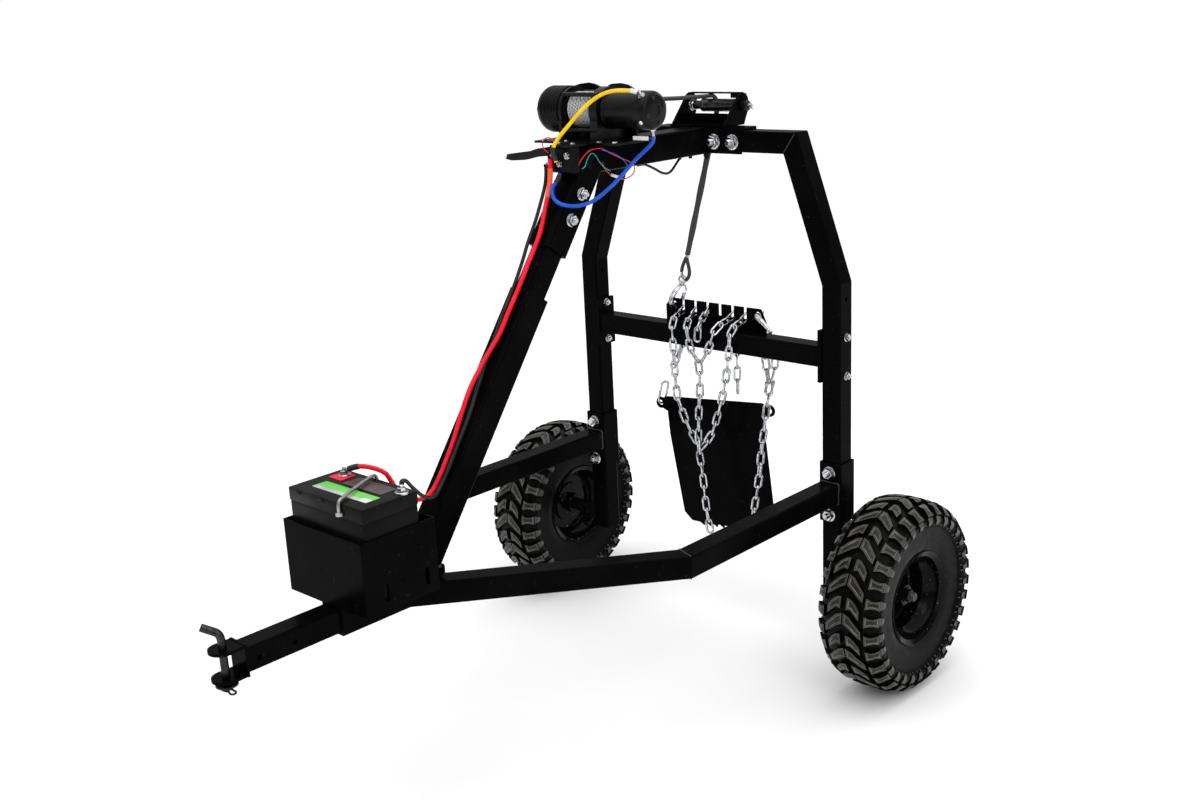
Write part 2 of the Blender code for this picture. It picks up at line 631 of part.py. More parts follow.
# ---------------------------------------------------------------- winch
def build_winch():
    boom_top = BOOM_Z + BIG_TUBE / 2
    base = boom_top + GAP
    y0, y1 = WINCH_Y - 0.052, WINCH_Y + 0.052
    bm = bmesh.new()
    add_box(bm, (-0.128, y0 - 0.010, base), (0.122, y1 + 0.010, base + 0.005))
    ob = make_object("winch_frame", bm, "black_plastic")
    tab = bmesh.new()
    add_box(tab, (-0.015, -0.512, base + 0.0002), (0.040, y0, base + 0.0048))
    boolean(ob, tab, 'UNION')
    for low, high in ((-0.062, -0.053), (0.032, 0.054)):
        cheek = bmesh.new()
        profile = [(0.0500, 0.0), (0.0500, high - low)]
        add_turned(cheek, profile, (low, WINCH_Y, WINCH_Z), (1.0, 0.0, 0.0), 32)
        boolean(ob, cheek, 'UNION')
        leg = bmesh.new()
        add_box(leg, (low, y0 + 0.004, base + 0.002), (high, y1 - 0.004, WINCH_Z - 0.020))
        boolean(ob, leg, 'UNION')
    humps = [
        [(-0.120, 0.002), (-0.022, 0.002), (-0.022, 0.1095), (-0.027, 0.1155), (-0.045, 0.1217), (-0.064, 0.1244),
         (-0.090, 0.1217), (-0.115, 0.1153), (-0.120, 0.1090)],
        [(-0.002, 0.002), (0.078, 0.002), (0.078, 0.1070), (0.073, 0.1113), (0.055, 0.1197), (0.032, 0.1233),
         (0.008, 0.1217), (-0.002, 0.1180)],
    ]
    for outline in humps:
        stand = Matrix(((1, 0, 0, 0), (0, 0, 1, -0.3310), (0, 1, 0, base), (0, 0, 0, 1)))
        guard = plate_from_outline(outline, 0.005, stand)
        boolean(ob, guard, 'UNION')
    ties = bmesh.new()
    for way in (-1, 1):
        spot = (-0.057, WINCH_Y + way * 0.0346, WINCH_Z + 0.0346)
        add_rod(ties, spot, (0.050, spot[1], spot[2]), 0.005, 12)
        spot = (-0.057, WINCH_Y + way * 0.0440, WINCH_Z - 0.0420)
        add_rod(ties, spot, (0.050, spot[1], spot[2]), 0.005, 12)
    boolean(ob, ties, 'UNION')
    bore = bmesh.new()
    add_rod(bore, (-0.065, WINCH_Y, WINCH_Z), (0.056, WINCH_Y, WINCH_Z), 0.0135, 24)
    boolean(ob, bore, 'DIFFERENCE')

    # gear housing outboard of the drum, with the socket for the clutch knob at its end
    bm = bmesh.new()
    profile = [(0.042, 0.0), (0.0485, 0.004), (0.0515, 0.012), (0.0515, 0.0667)]
    add_turned(bm, profile, (GEAR_END_X, WINCH_Y, WINCH_Z), (1.0, 0.0, 0.0), 40)
    make_object("winch_gearbox", bm, "black_plastic")

    bm = bmesh.new()
    profile = [(0.019, 0.0), (0.021, 0.002), (0.021, 0.014), (0.012, 0.016), (0.012, 0.0187)]
    knob_x = GEAR_END_X - GAP - 0.0187
    add_turned(bm, profile, (knob_x, WINCH_Y, WINCH_Z), (1.0, 0.0, 0.0), 20)
    ob = make_object("winch_clutch_knob", bm, "black_plastic", (knob_x, WINCH_Y, WINCH_Z))
    grip = bmesh.new()
    low = (knob_x - 0.0085, WINCH_Y - 0.020, WINCH_Z - 0.004)
    add_box(grip, low, (knob_x + 0.005, WINCH_Y + 0.020, WINCH_Z + 0.004))
    boolean(ob, grip, 'UNION')

    # drum: hollow core and two flanges between the cheeks
    bm = bmesh.new()
    drum = [(0.008, -0.0525), (0.042, -0.0525), (0.042, -0.0485), (0.021, -0.0485), (0.021, 0.0275)]
    drum += [(0.042, 0.0275), (0.042, 0.0315), (0.008, 0.0315)]
    add_ring(bm, drum, (0.0, WINCH_Y, WINCH_Z), (1.0, 0.0, 0.0), 28)
    make_object("winch_drum", bm, "zinc", (0.0, WINCH_Y, WINCH_Z))

    # rope on the drum: rounded wraps
    bm = bmesh.new()
    wraps = [(0.0216, -0.0482)]
    turns = 6
    for i in range(turns):
        left = -0.0482 + 0.0754 * i / turns
        for a in (25, 90, 155):
            r = 0.0352 + 0.0042 * math.sin(math.radians(a))
            wraps.append((r, left + 0.0754 / turns * (0.5 - 0.5 * math.cos(math.radians(a)))))
    wraps.append((0.0216, 0.0272))
    add_ring(bm, wraps, (0.0, WINCH_Y, WINCH_Z), (1.0, 0.0, 0.0), 24)
    make_object("winch_rope_wraps", bm, "rope_grey", (0.0, WINCH_Y, WINCH_Z))

    # motor can with its end cap, which carries the terminal studs
    bm = bmesh.new()
    seam = 0.0900
    motor = [(0.0415, 0.0), (0.0415, 0.006), (0.0400, 0.007), (0.0400, seam), (0.0412, seam + 0.0003)]
    motor += [(0.0412, seam + 0.026), (0.0385, seam + 0.034), (0.0310, seam + 0.038)]
    motor_x = 0.0540 + GAP
    add_turned(bm, motor, (motor_x, WINCH_Y, WINCH_Z), (1.0, 0.0, 0.0), 32)
    ob = make_object("winch_motor", bm, "black_plastic")
    start = motor_x + seam
    studs = bmesh.new()
    for x, angle in ((start + 0.0210, 128), (start + 0.0220, 277)):
        a = math.radians(angle)
        out = Vector((0.0, math.cos(a), math.sin(a)))
        foot = Vector((x, WINCH_Y, WINCH_Z)) + out * 0.038
        add_turned(studs, [(0.007, 0.0), (0.007, 0.007), (0.0033, 0.0072), (0.0033, 0.017)], foot, out, 12)
    boolean(ob, studs, 'UNION')


def build_solenoid():
    """Contactor box under the winch base's front tab, with studs on its front, and a control lever beside it."""
    low, high = Vector((-0.034, -0.5050, 1.2520)), Vector((0.0425, -0.4775, 1.3070))
    ob = make_object("solenoid_box", bevelled_box(low, high, 0.003, 1), "black_plastic")
    studs = bmesh.new()
    for x, z in SOLENOID_STUDS:
        profile = [(0.0065, -0.001), (0.0065, 0.006), (0.0035, 0.0062), (0.0035, 0.014)]
        add_turned(studs, profile, (x, low.y, z), (0.0, -1.0, 0.0), 12)
    boolean(ob, studs, 'UNION')

    grip = [(-0.163, 1.2765), (-0.143, 1.2735), (-0.100, 1.2765), (-0.060, 1.2850), (-0.0350, 1.2870)]
    grip += [(-0.0350, 1.3060), (-0.060, 1.3030), (-0.084, 1.2965), (-0.157, 1.2875)]
    stand = Matrix(((1, 0, 0, 0), (0, 0, 1, -0.5060), (0, 1, 0, 0), (0, 0, 0, 1)))
    make_object("control_lever", plate_from_outline(grip, 0.014, stand), "black_plastic")


# ---------------------------------------------------------------- rope, hook, chains
def build_chain_plate():
    """Plate on the cross beam's back face; each slot in its top edge holds one link of a chain."""
    outline = [(-0.158, 0.7574), (0.157, 0.7574), (0.158, 0.831), (0.142, 0.8640)]
    for x in reversed(SLOT_X):
        right, left = x + SLOT_HALF, x - SLOT_HALF
        outline += [(right, 0.8640), (right, 0.8340), (left, 0.8340), (left, 0.8640)]
    outline += [(-0.142, 0.8640), (-0.158, 0.845)]
    turn = Matrix(((1, 0, 0, 0), (0, 0, 1, TUBE / 2 + GAP), (0, 1, 0, 0), (0, 0, 0, 1)))
    ob = make_object("chain_plate", plate_from_outline(outline, PLATE, turn), "black_paint")
    holes = bmesh.new()
    for x in (-0.130, 0.136):
        add_rod(holes, (x, 0.0, 0.848), (x, 0.06, 0.848), 0.0095, 20)
    boolean(ob, holes, 'DIFFERENCE')


def build_rope_end():
    """Rope over the roller and down to the thimble and hook, which holds the chain plate's corner hole."""
    top = ROLLER_R + 0.0064
    route = [
        (-0.012, WINCH_Y + 0.034, WINCH_Z + 0.0245),
        (-0.012, -0.250, 1.3890),
        (-0.012, -0.100, 1.3790),
        (-0.012, ROLLER_Y - 0.030, ROLLER_Z + top + 0.0005),
    ]
    for angle in (90, 60, 30, 0):
        a = math.radians(angle)
        route.append((-0.012, ROLLER_Y + top * math.cos(a), ROLLER_Z + top * math.sin(a)))
    route += [
        (-0.018, ROLLER_Y + top + 0.0015, 1.320),
        (-0.028, ROLLER_Y + top, 1.290),
        (-0.056, 0.068, 1.180),
        (-0.087, 0.063, 1.060),
        (-0.110, 0.058, 0.968),
    ]
    cord("winch_rope", route, 0.009, "rope_grey", 2.0, 2)

    teardrop = [
        (-0.1115, 0.0573, 0.9585), (-0.1060, 0.0580, 0.9430), (-0.1035, 0.0575, 0.9270), (-0.1065, 0.0565, 0.9160),
        (-0.1140, 0.0550, 0.9075), (-0.1215, 0.0545, 0.9090), (-0.1265, 0.0545, 0.9180), (-0.1270, 0.0550, 0.9290),
        (-0.1230, 0.0555, 0.9440), (-0.1165, 0.0565, 0.9580),
    ]
    bm = bmesh.new()
    add_closed_wire(bm, [Vector(p) for p in teardrop], 0.0036)
    make_object("rope_thimble", bm, "zinc")

    hook_route = [
        (-0.1185, 0.0460, 0.9010), (-0.1240, 0.0400, 0.8930), (-0.1290, 0.0280, 0.8800), (-0.1320, 0.0180, 0.8650),
        (-0.1325, 0.0170, 0.8530), (-0.1310, 0.0230, 0.8470), (-0.1270, 0.0330, 0.8470), (-0.1210, 0.0410, 0.8530),
        (-0.1160, 0.0450, 0.8650), (-0.1130, 0.0470, 0.8780),
    ]
    cord("rope_hook", hook_route, 0.0085, "zinc", 1.3, 2)

    bm = bmesh.new()
    add_rod(bm, (-0.1150, 0.0520, 0.8960), (-0.1115, 0.0530, 0.8800), 0.0022, 8)
    make_object("rope_hook_latch", bm, "zinc", (-0.1150, 0.0520, 0.8960))


def build_lift_hook():
    """Heavy hook in the plate's other corner hole, lying forward over the beam."""
    route = [
        (0.1360, 0.0450, 0.8560), (0.1360, 0.0400, 0.8500), (0.1362, 0.0287, 0.8482), (0.1400, 0.0150, 0.8490),
        (0.1550, 0.0070, 0.8430), (0.1720, 0.0030, 0.8330), (0.1880, -0.0010, 0.8230), (0.1960, -0.0030, 0.8185),
    ]
    cord("lift_hook", route, 0.013, "zinc", 1.2, 2)


def build_chains():
    over = CROSS_Z + TUBE / 2 + CHAIN_R
    front = -TUBE / 2 - CHAIN_R - 0.0025

    def from_slot(slot, x_top, x_front):
        """Out of a slot, over the beam's top and down to its front face."""
        x = SLOT_X[slot]
        return [
            (x, 0.0225, SLOT_SEAT_Z - 0.006), (0.7 * x + 0.3 * x_top, 0.0080, over + 0.0120),
            (x_top, -0.0170, over + 0.0075), (0.5 * (x_top + x_front), -0.0340, over - 0.0010),
            (x_front, front - 0.0010, 0.795),
        ]

    routes = {
        "chain_left": from_slot(0, -0.096, -0.087) + [
            (-0.086, front - 0.001, 0.757), (-0.085, -0.0370, 0.720), (-0.081, -0.038, 0.668),
            (-0.076, -0.038, 0.616), (-0.057, -0.038, 0.578), (-0.040, -0.038, 0.542), (-0.029, -0.038, 0.521),
        ],
        "chain_centre": from_slot(1, -0.050, -0.038) + [
            (-0.027, front - 0.001, 0.750), (-0.006, -0.0370, 0.725), (-0.001, -0.038, 0.690),
            (-0.003, -0.038, 0.640), (-0.008, -0.038, 0.580), (-0.011, -0.038, 0.500), (-0.004, -0.038, 0.460),
            (0.002, -0.038, 0.410), (0.009, -0.038, 0.340), (0.020, -0.038, 0.275),
        ],
        "chain_branch": from_slot(4, 0.052, 0.042) + [
            (0.028, front - 0.001, 0.762), (0.0150, -0.0370, 0.741),
        ],
        "chain_right": from_slot(5, 0.095, 0.095) + [
            (0.088, front - 0.001, 0.735), (0.076, -0.038, 0.672), (0.054, -0.038, 0.597),
            (0.030, -0.038, 0.538), (0.010, -0.038, 0.505),
        ],
        "chain_sling": [
            (0.150, 0.0440, 0.8000), (0.140, 0.0470, 0.737), (0.150, 0.0440, 0.690), (0.164, 0.0300, 0.655),
            (0.1740, 0.0030, 0.625), (0.174, -0.0040, 0.585), (0.166, -0.0040, 0.540), (0.158, -0.002, 0.500),
            (0.150, 0.000, 0.440), (0.139, 0.000, 0.380), (0.127, 0.000, 0.320),
        ],
    }
    for name, route in routes.items():
        cord(name, route, 2 * CHAIN_R, "zinc", 1.5, 2)

    bm = bmesh.new()
    add_rod(bm, (SLOT_X[4], 0.0430, 0.636), (SLOT_X[4], 0.0430, 0.8320), CHAIN_R, 10)
    make_object("chain_tail", bm, "zinc", (SLOT_X[4], 0.0430, 0.832))


SKID_PIVOT = Vector((-0.1885, 0.0270, 0.5750))
SKID_PIVOT_FAR = Vector((0.1665, 0.0270, 0.6090))


def build_skid_plate():
    """Bent plate with an eye at each top corner and a toothed lower edge."""
    across = (SKID_PIVOT_FAR - SKID_PIVOT)
    tilt = math.atan2(across.z, across.x)
    middle = (SKID_PIVOT + SKID_PIVOT_FAR) / 2
    half = across.length / 2
    top = 0.018
    bend = -0.085
    outline = arc_points(half, 0.0, 0.0155, -110, 120, 8)
    outline += [(half - 0.024, top)]
    outline += [(-half + 0.024, top)]
    outline += arc_points(-half, 0.0, 0.0155, 60, 290, 8)
    outline += [(-0.157, -0.022), (-0.157, bend), (-0.150, -0.305), (-0.128, -0.328)]
    teeth = 9
    for i in range(teeth):
        left = -0.100 + 0.200 * i / teeth
        outline += [(left, -0.330), (left + 0.011, -0.338), (left + 0.0135, -0.330)]
    outline += [(0.128, -0.328), (0.150, -0.305), (0.157, bend), (0.157, -0.022)]
    turn = Matrix.Translation(middle) @ Matrix.Rotation(-tilt, 4, 'Y')
    stand = Matrix(((1, 0, 0, 0), (0, 0, 1, 0), (0, 1, 0, 0), (0, 0, 0, 1)))
    bm = plate_from_outline(outline, 0.004, Matrix.Translation((0.0, -0.002, 0.0)) @ stand)
    cut = bmesh.ops.bisect_plane(bm, geom=bm.verts[:] + bm.edges[:] + bm.faces[:],
                                 plane_co=(0.0, 0.0, bend), plane_no=(0.0, 0.0, 1.0))
    del cut
    for vert in bm.verts:
        drop = bend - vert.co.z
        if drop > 0:
            vert.co.y += drop * 0.075
    bmesh.ops.transform(bm, matrix=turn, verts=bm.verts)
    ob = make_object("skid_plate", bm, "black_paint", middle)
    holes = bmesh.new()
    for eye in (SKID_PIVOT, SKID_PIVOT_FAR):
        add_rod(holes, eye - Vector((0.0, 0.03, 0.0)), eye + Vector((0.0, 0.03, 0.0)), 0.0075, 18)
    boolean(ob, holes, 'DIFFERENCE')


def build_skid_link():
    """Long oval quick link through the skid plate's low eye, leaning toward the chain."""
    half, length = 0.0095, 0.066
    start = SKID_PIVOT + Vector((0.0, 0.0, -0.0010))
    along = Vector((0.0200, -0.0030, 0.0590)).normalized()
    side = Vector((0.50, 0.86, 0.0))
    side = (side - along * side.dot(along)).normalized()
    path = []
    for angle in range(180, 361, 36):
        a = math.radians(angle)
        path.append(start + side * math.cos(a) * half + along * (half + math.sin(a) * half))
    for angle in range(0, 181, 36):
        a = math.radians(angle)
        path.append(start + side * math.cos(a) * half + along * (length - half + math.sin(a) * half))
    bm = bmesh.new()
    add_closed_wire(bm, path, 0.003)
    make_object("skid_link", bm, "zinc")


# ---------------------------------------------------------------- battery
def build_battery():
    low, high = Vector((-0.123, -1.213, TRAY_LOW_Z)), Vector((0.123, -1.029, TRAY_HIGH_Z))
    wall = 0.003
    bm = bmesh.new()
    add_box(bm, low, high)
    ob = make_object("battery_tray", bm, "black_paint")
    inside = bmesh.new()
    add_box(inside, low + Vector((wall, wall, 0.005)), high + Vector((-wall, -wall, 0.05)))
    boolean(ob, inside, 'DIFFERENCE')
    slots = bmesh.new()
    for y in (-1.160, -1.058):
        add_box(slots, (0.115, y - 0.005, 0.512), (0.130, y + 0.005, 0.548))
    boolean(ob, slots, 'DIFFERENCE')

    floor = TRAY_LOW_Z + 0.005 + GAP
    case = bevelled_box((-0.117, -1.196, floor), (0.117, -1.062, BATTERY_TOP_Z), 0.0035, 1)
    ob = make_object("battery", case, "black_plastic")
    posts = bmesh.new()
    for x in (-0.078, 0.103):
        profile = [(0.014, -0.002), (0.014, 0.003), (0.0085, 0.0032), (0.0080, 0.014)]
        add_turned(posts, profile, (x, -1.088, BATTERY_TOP_Z), (0.0, 0.0, 1.0), 16)
    boolean(ob, posts, 'UNION')

    hold = [
        (0.0520, -1.2015, 0.6880), (0.0520, -1.2015, 0.6970), (0.0510, -1.2000, 0.7080), (0.0480, -1.1910, 0.7150),
        (0.0220, -1.1370, 0.7165), (-0.0040, -1.0830, 0.7160), (-0.0120, -1.0640, 0.7140), (-0.0140, -1.0565, 0.7060),
        (-0.0140, -1.0555, 0.6900), (-0.0140, -1.0555, 0.6400),
    ]
    cord("battery_hold_down", hold, 0.0075, "zinc", 1.6, 2)


# ---------------------------------------------------------------- leads
def build_leads():
    cord("motor_lead_yellow", [
        (0.1590, -0.4185, 1.4178), (0.1525, -0.4250, 1.4212), (0.1441, -0.4330, 1.4225), (0.1279, -0.4470, 1.4234),
        (0.1086, -0.4580, 1.4199), (0.0869, -0.4670, 1.4099), (0.0636, -0.4750, 1.3933), (0.0440, -0.4840, 1.3735),
        (0.0260, -0.4940, 1.3520), (0.0120, -0.5070, 1.3310), (0.0050, -0.5200, 1.3110), (0.0050, -0.5230, 1.2960),
        (0.0060, -0.5175, 1.2850), (0.0062, -0.5165, 1.2770),
    ], 0.0085, "yellow", 2.0, 2)
    cord("motor_lead_blue", [
        (0.1660, -0.3765, 1.3212), (0.1645, -0.3765, 1.3140), (0.1560, -0.3780, 1.3030), (0.1300, -0.3953, 1.2752),
        (0.1050, -0.4174, 1.2405), (0.0850, -0.4449, 1.2111), (0.0650, -0.4740, 1.1890), (0.0500, -0.5030, 1.1830),
        (0.0370, -0.5280, 1.1870), (0.0220, -0.5360, 1.1940), (0.0100, -0.5350, 1.2040), (0.0000, -0.5280, 1.2180),
        (-0.0030, -0.5170, 1.2280), (-0.0020, -0.5060, 1.2370), (-0.0010, -0.5010, 1.2440), (-0.0010, -0.5000, 1.2502),
    ], 0.0085, "blue", 2.2, 2)
    cord("battery_lead_red", [
        (-0.0680, -1.0850, 0.7225), (-0.0600, -1.0800, 0.7262), (-0.0460, -1.0700, 0.7292), (-0.0270, -1.0580, 0.7268),
        (-0.0060, -1.0420, 0.7160), (0.0000, -1.0330, 0.6980), (0.0000, -1.0180, 0.6720), (0.0000, -0.9950, 0.6490),
        (0.0000, -0.9640, 0.6360), (0.0010, -0.9350, 0.6410), (0.0020, -0.9090, 0.6680), (0.0000, -0.8800, 0.7060),
        (-0.0020, -0.8560, 0.7400), (-0.0030, -0.8320, 0.7850), (-0.0030, -0.8020, 0.8350), (-0.0010, -0.7580, 0.8870),
        (0.0030, -0.7160, 0.9320), (0.0070, -0.6870, 0.9780), (0.0060, -0.6500, 1.0260), (0.0040, -0.6160, 1.0730),
        (0.0000, -0.5720, 1.1300), (-0.0085, -0.5425, 1.1830), (-0.0115, -0.5235, 1.2263), (-0.0115, -0.5180, 1.2600),
        (-0.0110, -0.5170, 1.2832),
    ], 0.0100, "red", 2.4, 2)
    cord("battery_lead_black", [
        (0.0950, -1.0800, 0.7235), (0.0870, -1.0720, 0.7240), (0.0700, -1.0500, 0.7160), (0.0540, -1.0200, 0.6880),
        (0.0380, -0.9820, 0.6560), (0.0240, -0.9440, 0.6420), (0.0160, -0.9180, 0.6560), (0.0150, -0.8930, 0.6860),
        (0.0130, -0.8560, 0.7370), (0.0100, -0.8200, 0.7850), (0.0020, -0.7850, 0.8330), (-0.0060, -0.7450, 0.8880),
        (-0.0080, -0.7140, 0.9320), (-0.0090, -0.6840, 0.9780), (-0.0130, -0.6470, 1.0260), (-0.0180, -0.6130, 1.0730),
        (-0.0220, -0.5880, 1.1120), (-0.0240, -0.5620, 1.1500), (-0.0270, -0.5390, 1.1880), (-0.0285, -0.5200, 1.2260),
        (-0.0275, -0.5160, 1.2500), (-0.0270, -0.5160, 1.2640),
    ], 0.0080, "black_plastic", 2.8, 2)
    cord("boom_lead", [
        (0.0000, -0.2450, 1.2390), (0.0000, -0.2200, 1.2385), (0.0000, -0.1880, 1.2260), (0.0000, -0.1550, 1.2110),
        (0.0000, -0.1280, 1.2110), (0.0000, -0.0980, 1.2340), (0.0000, -0.0880, 1.2390),
    ], 0.0060, "black_plastic", 2.6, 2)
    cord("signal_wire", [
        (0.0440, -0.4860, 1.2700), (0.0520, -0.4840, 1.2820), (0.0520, -0.4600, 1.2960), (0.0480, -0.4278, 1.2985),
        (0.0440, -0.4050, 1.2940), (0.0400, -0.3756, 1.2809), (0.0400, -0.3425, 1.2672), (0.0400, -0.3157, 1.2564),
        (0.0400, -0.3008, 1.2433), (0.0400, -0.3051, 1.2301), (0.0400, -0.3212, 1.2228), (0.0400, -0.3454, 1.2222),
        (0.0390, -0.3721, 1.2311), (0.0370, -0.3914, 1.2446), (0.0350, -0.3972, 1.2540), (0.0333, -0.3985, 1.2650),
    ], 0.0026, "red", 3.6, 2)


def build():
    clear_scene()
    for side, label in ((1, "near"), (-1, "far")):
        build_wheel(side, label)
        build_upright(side, label)
        build_arm(side, label)
        build_arm_sleeve(side, label)
    build_arch_beam()
    build_cross_beam()
    build_drawbar()
    build_hitch()
    build_mast()
    build_arch_saddle()
    build_fairlead()
    build_winch()
    build_solenoid()
    build_chain_plate()
    build_rope_end()
    build_lift_hook()
    build_chains()
    build_skid_plate()
    build_skid_link()
    build_battery()
    build_leads()


build()
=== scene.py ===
"""Looks of the game cart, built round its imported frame: tread, chains, winch, wiring, bolts, finishes.

Metres, +Z up. Positions are written about the axle's line, as the cart is laid out, and `at` moves them
into the frame, whose origin is on the ground under the middle of the cart.
"""
import math
import random

import bmesh
import bpy
from mathutils import Matrix, Vector


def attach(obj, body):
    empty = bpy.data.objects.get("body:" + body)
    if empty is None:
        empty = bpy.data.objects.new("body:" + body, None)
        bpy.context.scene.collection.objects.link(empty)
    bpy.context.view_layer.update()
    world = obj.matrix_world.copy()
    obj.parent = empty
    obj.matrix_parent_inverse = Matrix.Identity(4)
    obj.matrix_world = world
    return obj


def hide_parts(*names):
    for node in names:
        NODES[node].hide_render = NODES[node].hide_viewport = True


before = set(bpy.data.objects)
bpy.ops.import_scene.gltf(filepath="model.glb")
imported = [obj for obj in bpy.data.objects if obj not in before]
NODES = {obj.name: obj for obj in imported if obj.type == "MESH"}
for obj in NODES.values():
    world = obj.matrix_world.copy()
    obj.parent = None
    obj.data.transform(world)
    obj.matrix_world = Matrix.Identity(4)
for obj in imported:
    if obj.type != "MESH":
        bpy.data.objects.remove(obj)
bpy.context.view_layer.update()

AXLE_Y = 0.6277
WHEEL_X, WHEEL_R, RIM_R, DISC_X = 0.545, 0.2305, 0.1016, -0.012
TUBE, BIG_TUBE = 0.0508, 0.0635
WINCH_Y, WINCH_Z = -0.385, 1.3777
ROLLER_Y, ROLLER_Z, ROLLER_R = 0.05, 1.352, 0.016
BATTERY_TOP, BATTERY_FRONT = 0.709, -1.196
PIN_Y, CLIP_Z = -1.453, 0.412
ARM_X, ARM_Z = 0.381, 0.4556          # middle of a side arm where it meets its sleeve
BEAM_Z = 0.7828                       # middle of the cross beam
ARCH_X, ARCH_Z = 0.269, 1.2751        # where the arch beam meets an upright's bent top
BOOM_Z = 1.2754
RECEIVER_TOP = 0.4922
LINK_PITCH, WIRE_R = 0.0309, 0.0031   # from link to link, and half the thickness of a link's wire
BEAM_FRONT = -TUBE / 2 - 0.0105       # where a chain hangs on the cross beam's front face
DRUM_TURNS = 8.5
SLOTS_X = [-0.102 + 0.0394 * i for i in range(6)]
X_AXIS, Y_AXIS, Z_AXIS = Vector((1, 0, 0)), Vector((0, 1, 0)), Vector((0, 0, 1))


def at(x, y, z):
    """A point given about the axle's line, in the frame."""
    return Vector((x, y + AXLE_Y, z))


def spoke(angle, radius=1.0, x=0.0):
    """A step out from a line along X, at an angle round it."""
    return Vector((x, radius * math.cos(angle), radius * math.sin(angle)))


# ---------------------------------------------------------------- camera, floor and light
def add_camera():
    eye = at(2.1264, -2.6568, 1.5926)
    turn, pitch, roll = math.radians(43.41), math.radians(15.82), math.radians(-2.8)
    ahead = Vector((-math.sin(turn) * math.cos(pitch), math.cos(turn) * math.cos(pitch), -math.sin(pitch)))
    level = Vector((math.cos(turn), math.sin(turn), 0.0))
    up = level.cross(ahead)
    right = math.cos(roll) * level + math.sin(roll) * up
    up = -math.sin(roll) * level + math.cos(roll) * up
    camera = bpy.data.cameras.new("camera")
    camera.sensor_width = 36.0
    camera.lens = 41.484
    camera.clip_start = 0.05
    ob = bpy.data.objects.new("camera", camera)
    ob.matrix_world = Matrix.Translation(eye) @ Matrix((right, up, -ahead)).transposed().to_4x4()
    bpy.context.scene.collection.objects.link(ob)
    bpy.context.scene.camera = ob


def add_light(name, place, aim, size, power):
    light = bpy.data.lights.new(name, 'AREA')
    light.shape = 'RECTANGLE'
    light.size, light.size_y = size
    light.energy = power
    ob = bpy.data.objects.new(name, light)
    ob.location = place
    ob.rotation_euler = (Vector(aim) - Vector(place)).to_track_quat('-Z', 'Y').to_euler()
    bpy.context.scene.collection.objects.link(ob)


def add_stage():
    bm = bmesh.new()
    bmesh.ops.create_grid(bm, x_segments=24, y_segments=24, size=90.0)
    mesh = bpy.data.meshes.new("floor")
    bm.to_mesh(mesh)
    bm.free()
    paper = material("floor_paper", grey(0.97), grey(0.96), 0.9, 0.05, bump=0.01, specular=0.0)
    mesh.materials.append(paper)
    floor = bpy.data.objects.new("floor", mesh)
    floor.location.z = -0.0005
    bpy.context.scene.collection.objects.link(floor)

    world = bpy.data.worlds.new("studio")
    world.use_nodes = True
    tree = world.node_tree
    back = tree.nodes["Background"]
    back.inputs["Color"].default_value = (1.0, 1.0, 1.0, 1.0)
    # a soft ceiling: bright overhead and dim towards the horizon, on a white backdrop
    path = tree.nodes.new("ShaderNodeLightPath")
    coords = tree.nodes.new("ShaderNodeTexCoord")
    split = tree.nodes.new("ShaderNodeSeparateXYZ")
    tree.links.new(coords.outputs["Generated"], split.inputs["Vector"])
    ceiling = stretch_value(tree, split.outputs["Z"], 0.0, 1.0, 0.1, 1.6)
    level = tree.nodes.new("ShaderNodeMix")
    level.inputs["B"].default_value = 1.0
    tree.links.new(path.outputs["Is Camera Ray"], level.inputs["Factor"])
    tree.links.new(ceiling, level.inputs["A"])
    tree.links.new(level.outputs["Result"], back.inputs["Strength"])
    bpy.context.scene.world = world
    bpy.context.scene.view_settings.view_transform = 'Standard'

    add_light("top_soft", (0.3, -0.6, 4.2), (0.0, 0.0, 0.6), (3.2, 3.2), 30)
    add_light("key_soft", (3.6, -1.2, 2.9), (0.2, 0.2, 0.6), (1.6, 2.2), 28)
    add_light("fill_soft", (-2.6, -3.4, 2.2), (0.0, -0.2, 0.6), (1.2, 2.4), 5)
    add_light("back_soft", (0.6, 4.0, 2.6), (0.0, 0.4, 0.8), (2.6, 1.6), 16)


# ---------------------------------------------------------------- materials
def noise(tree, coords, scale, detail=4.0, rough=0.55, stretch=None):
    node = tree.nodes.new("ShaderNodeTexNoise")
    node.inputs["Scale"].default_value = scale
    node.inputs["Detail"].default_value = detail
    node.inputs["Roughness"].default_value = rough
    source = coords.outputs["Object"]
    if stretch:
        mapping = tree.nodes.new("ShaderNodeMapping")
        mapping.inputs["Scale"].default_value = stretch
        tree.links.new(source, mapping.inputs["Vector"])
        source = mapping.outputs["Vector"]
    tree.links.new(source, node.inputs["Vector"])
    return node.outputs["Fac"]


def ramp(tree, value, low, high, first, second):
    node = tree.nodes.new("ShaderNodeValToRGB")
    node.color_ramp.elements[0].position = low
    node.color_ramp.elements[1].position = high
    node.color_ramp.elements[0].color = (*first, 1.0)
    node.color_ramp.elements[1].color = (*second, 1.0)
    tree.links.new(value, node.inputs["Fac"])
    return node.outputs["Color"]


def stretch_value(tree, value, low, high, out_low, out_high):
    node = tree.nodes.new("ShaderNodeMapRange")
    for name, number in (("From Min", low), ("From Max", high), ("To Min", out_low), ("To Max", out_high)):
        node.inputs[name].default_value = number
    tree.links.new(value, node.inputs["Value"])
    return node.outputs["Result"]


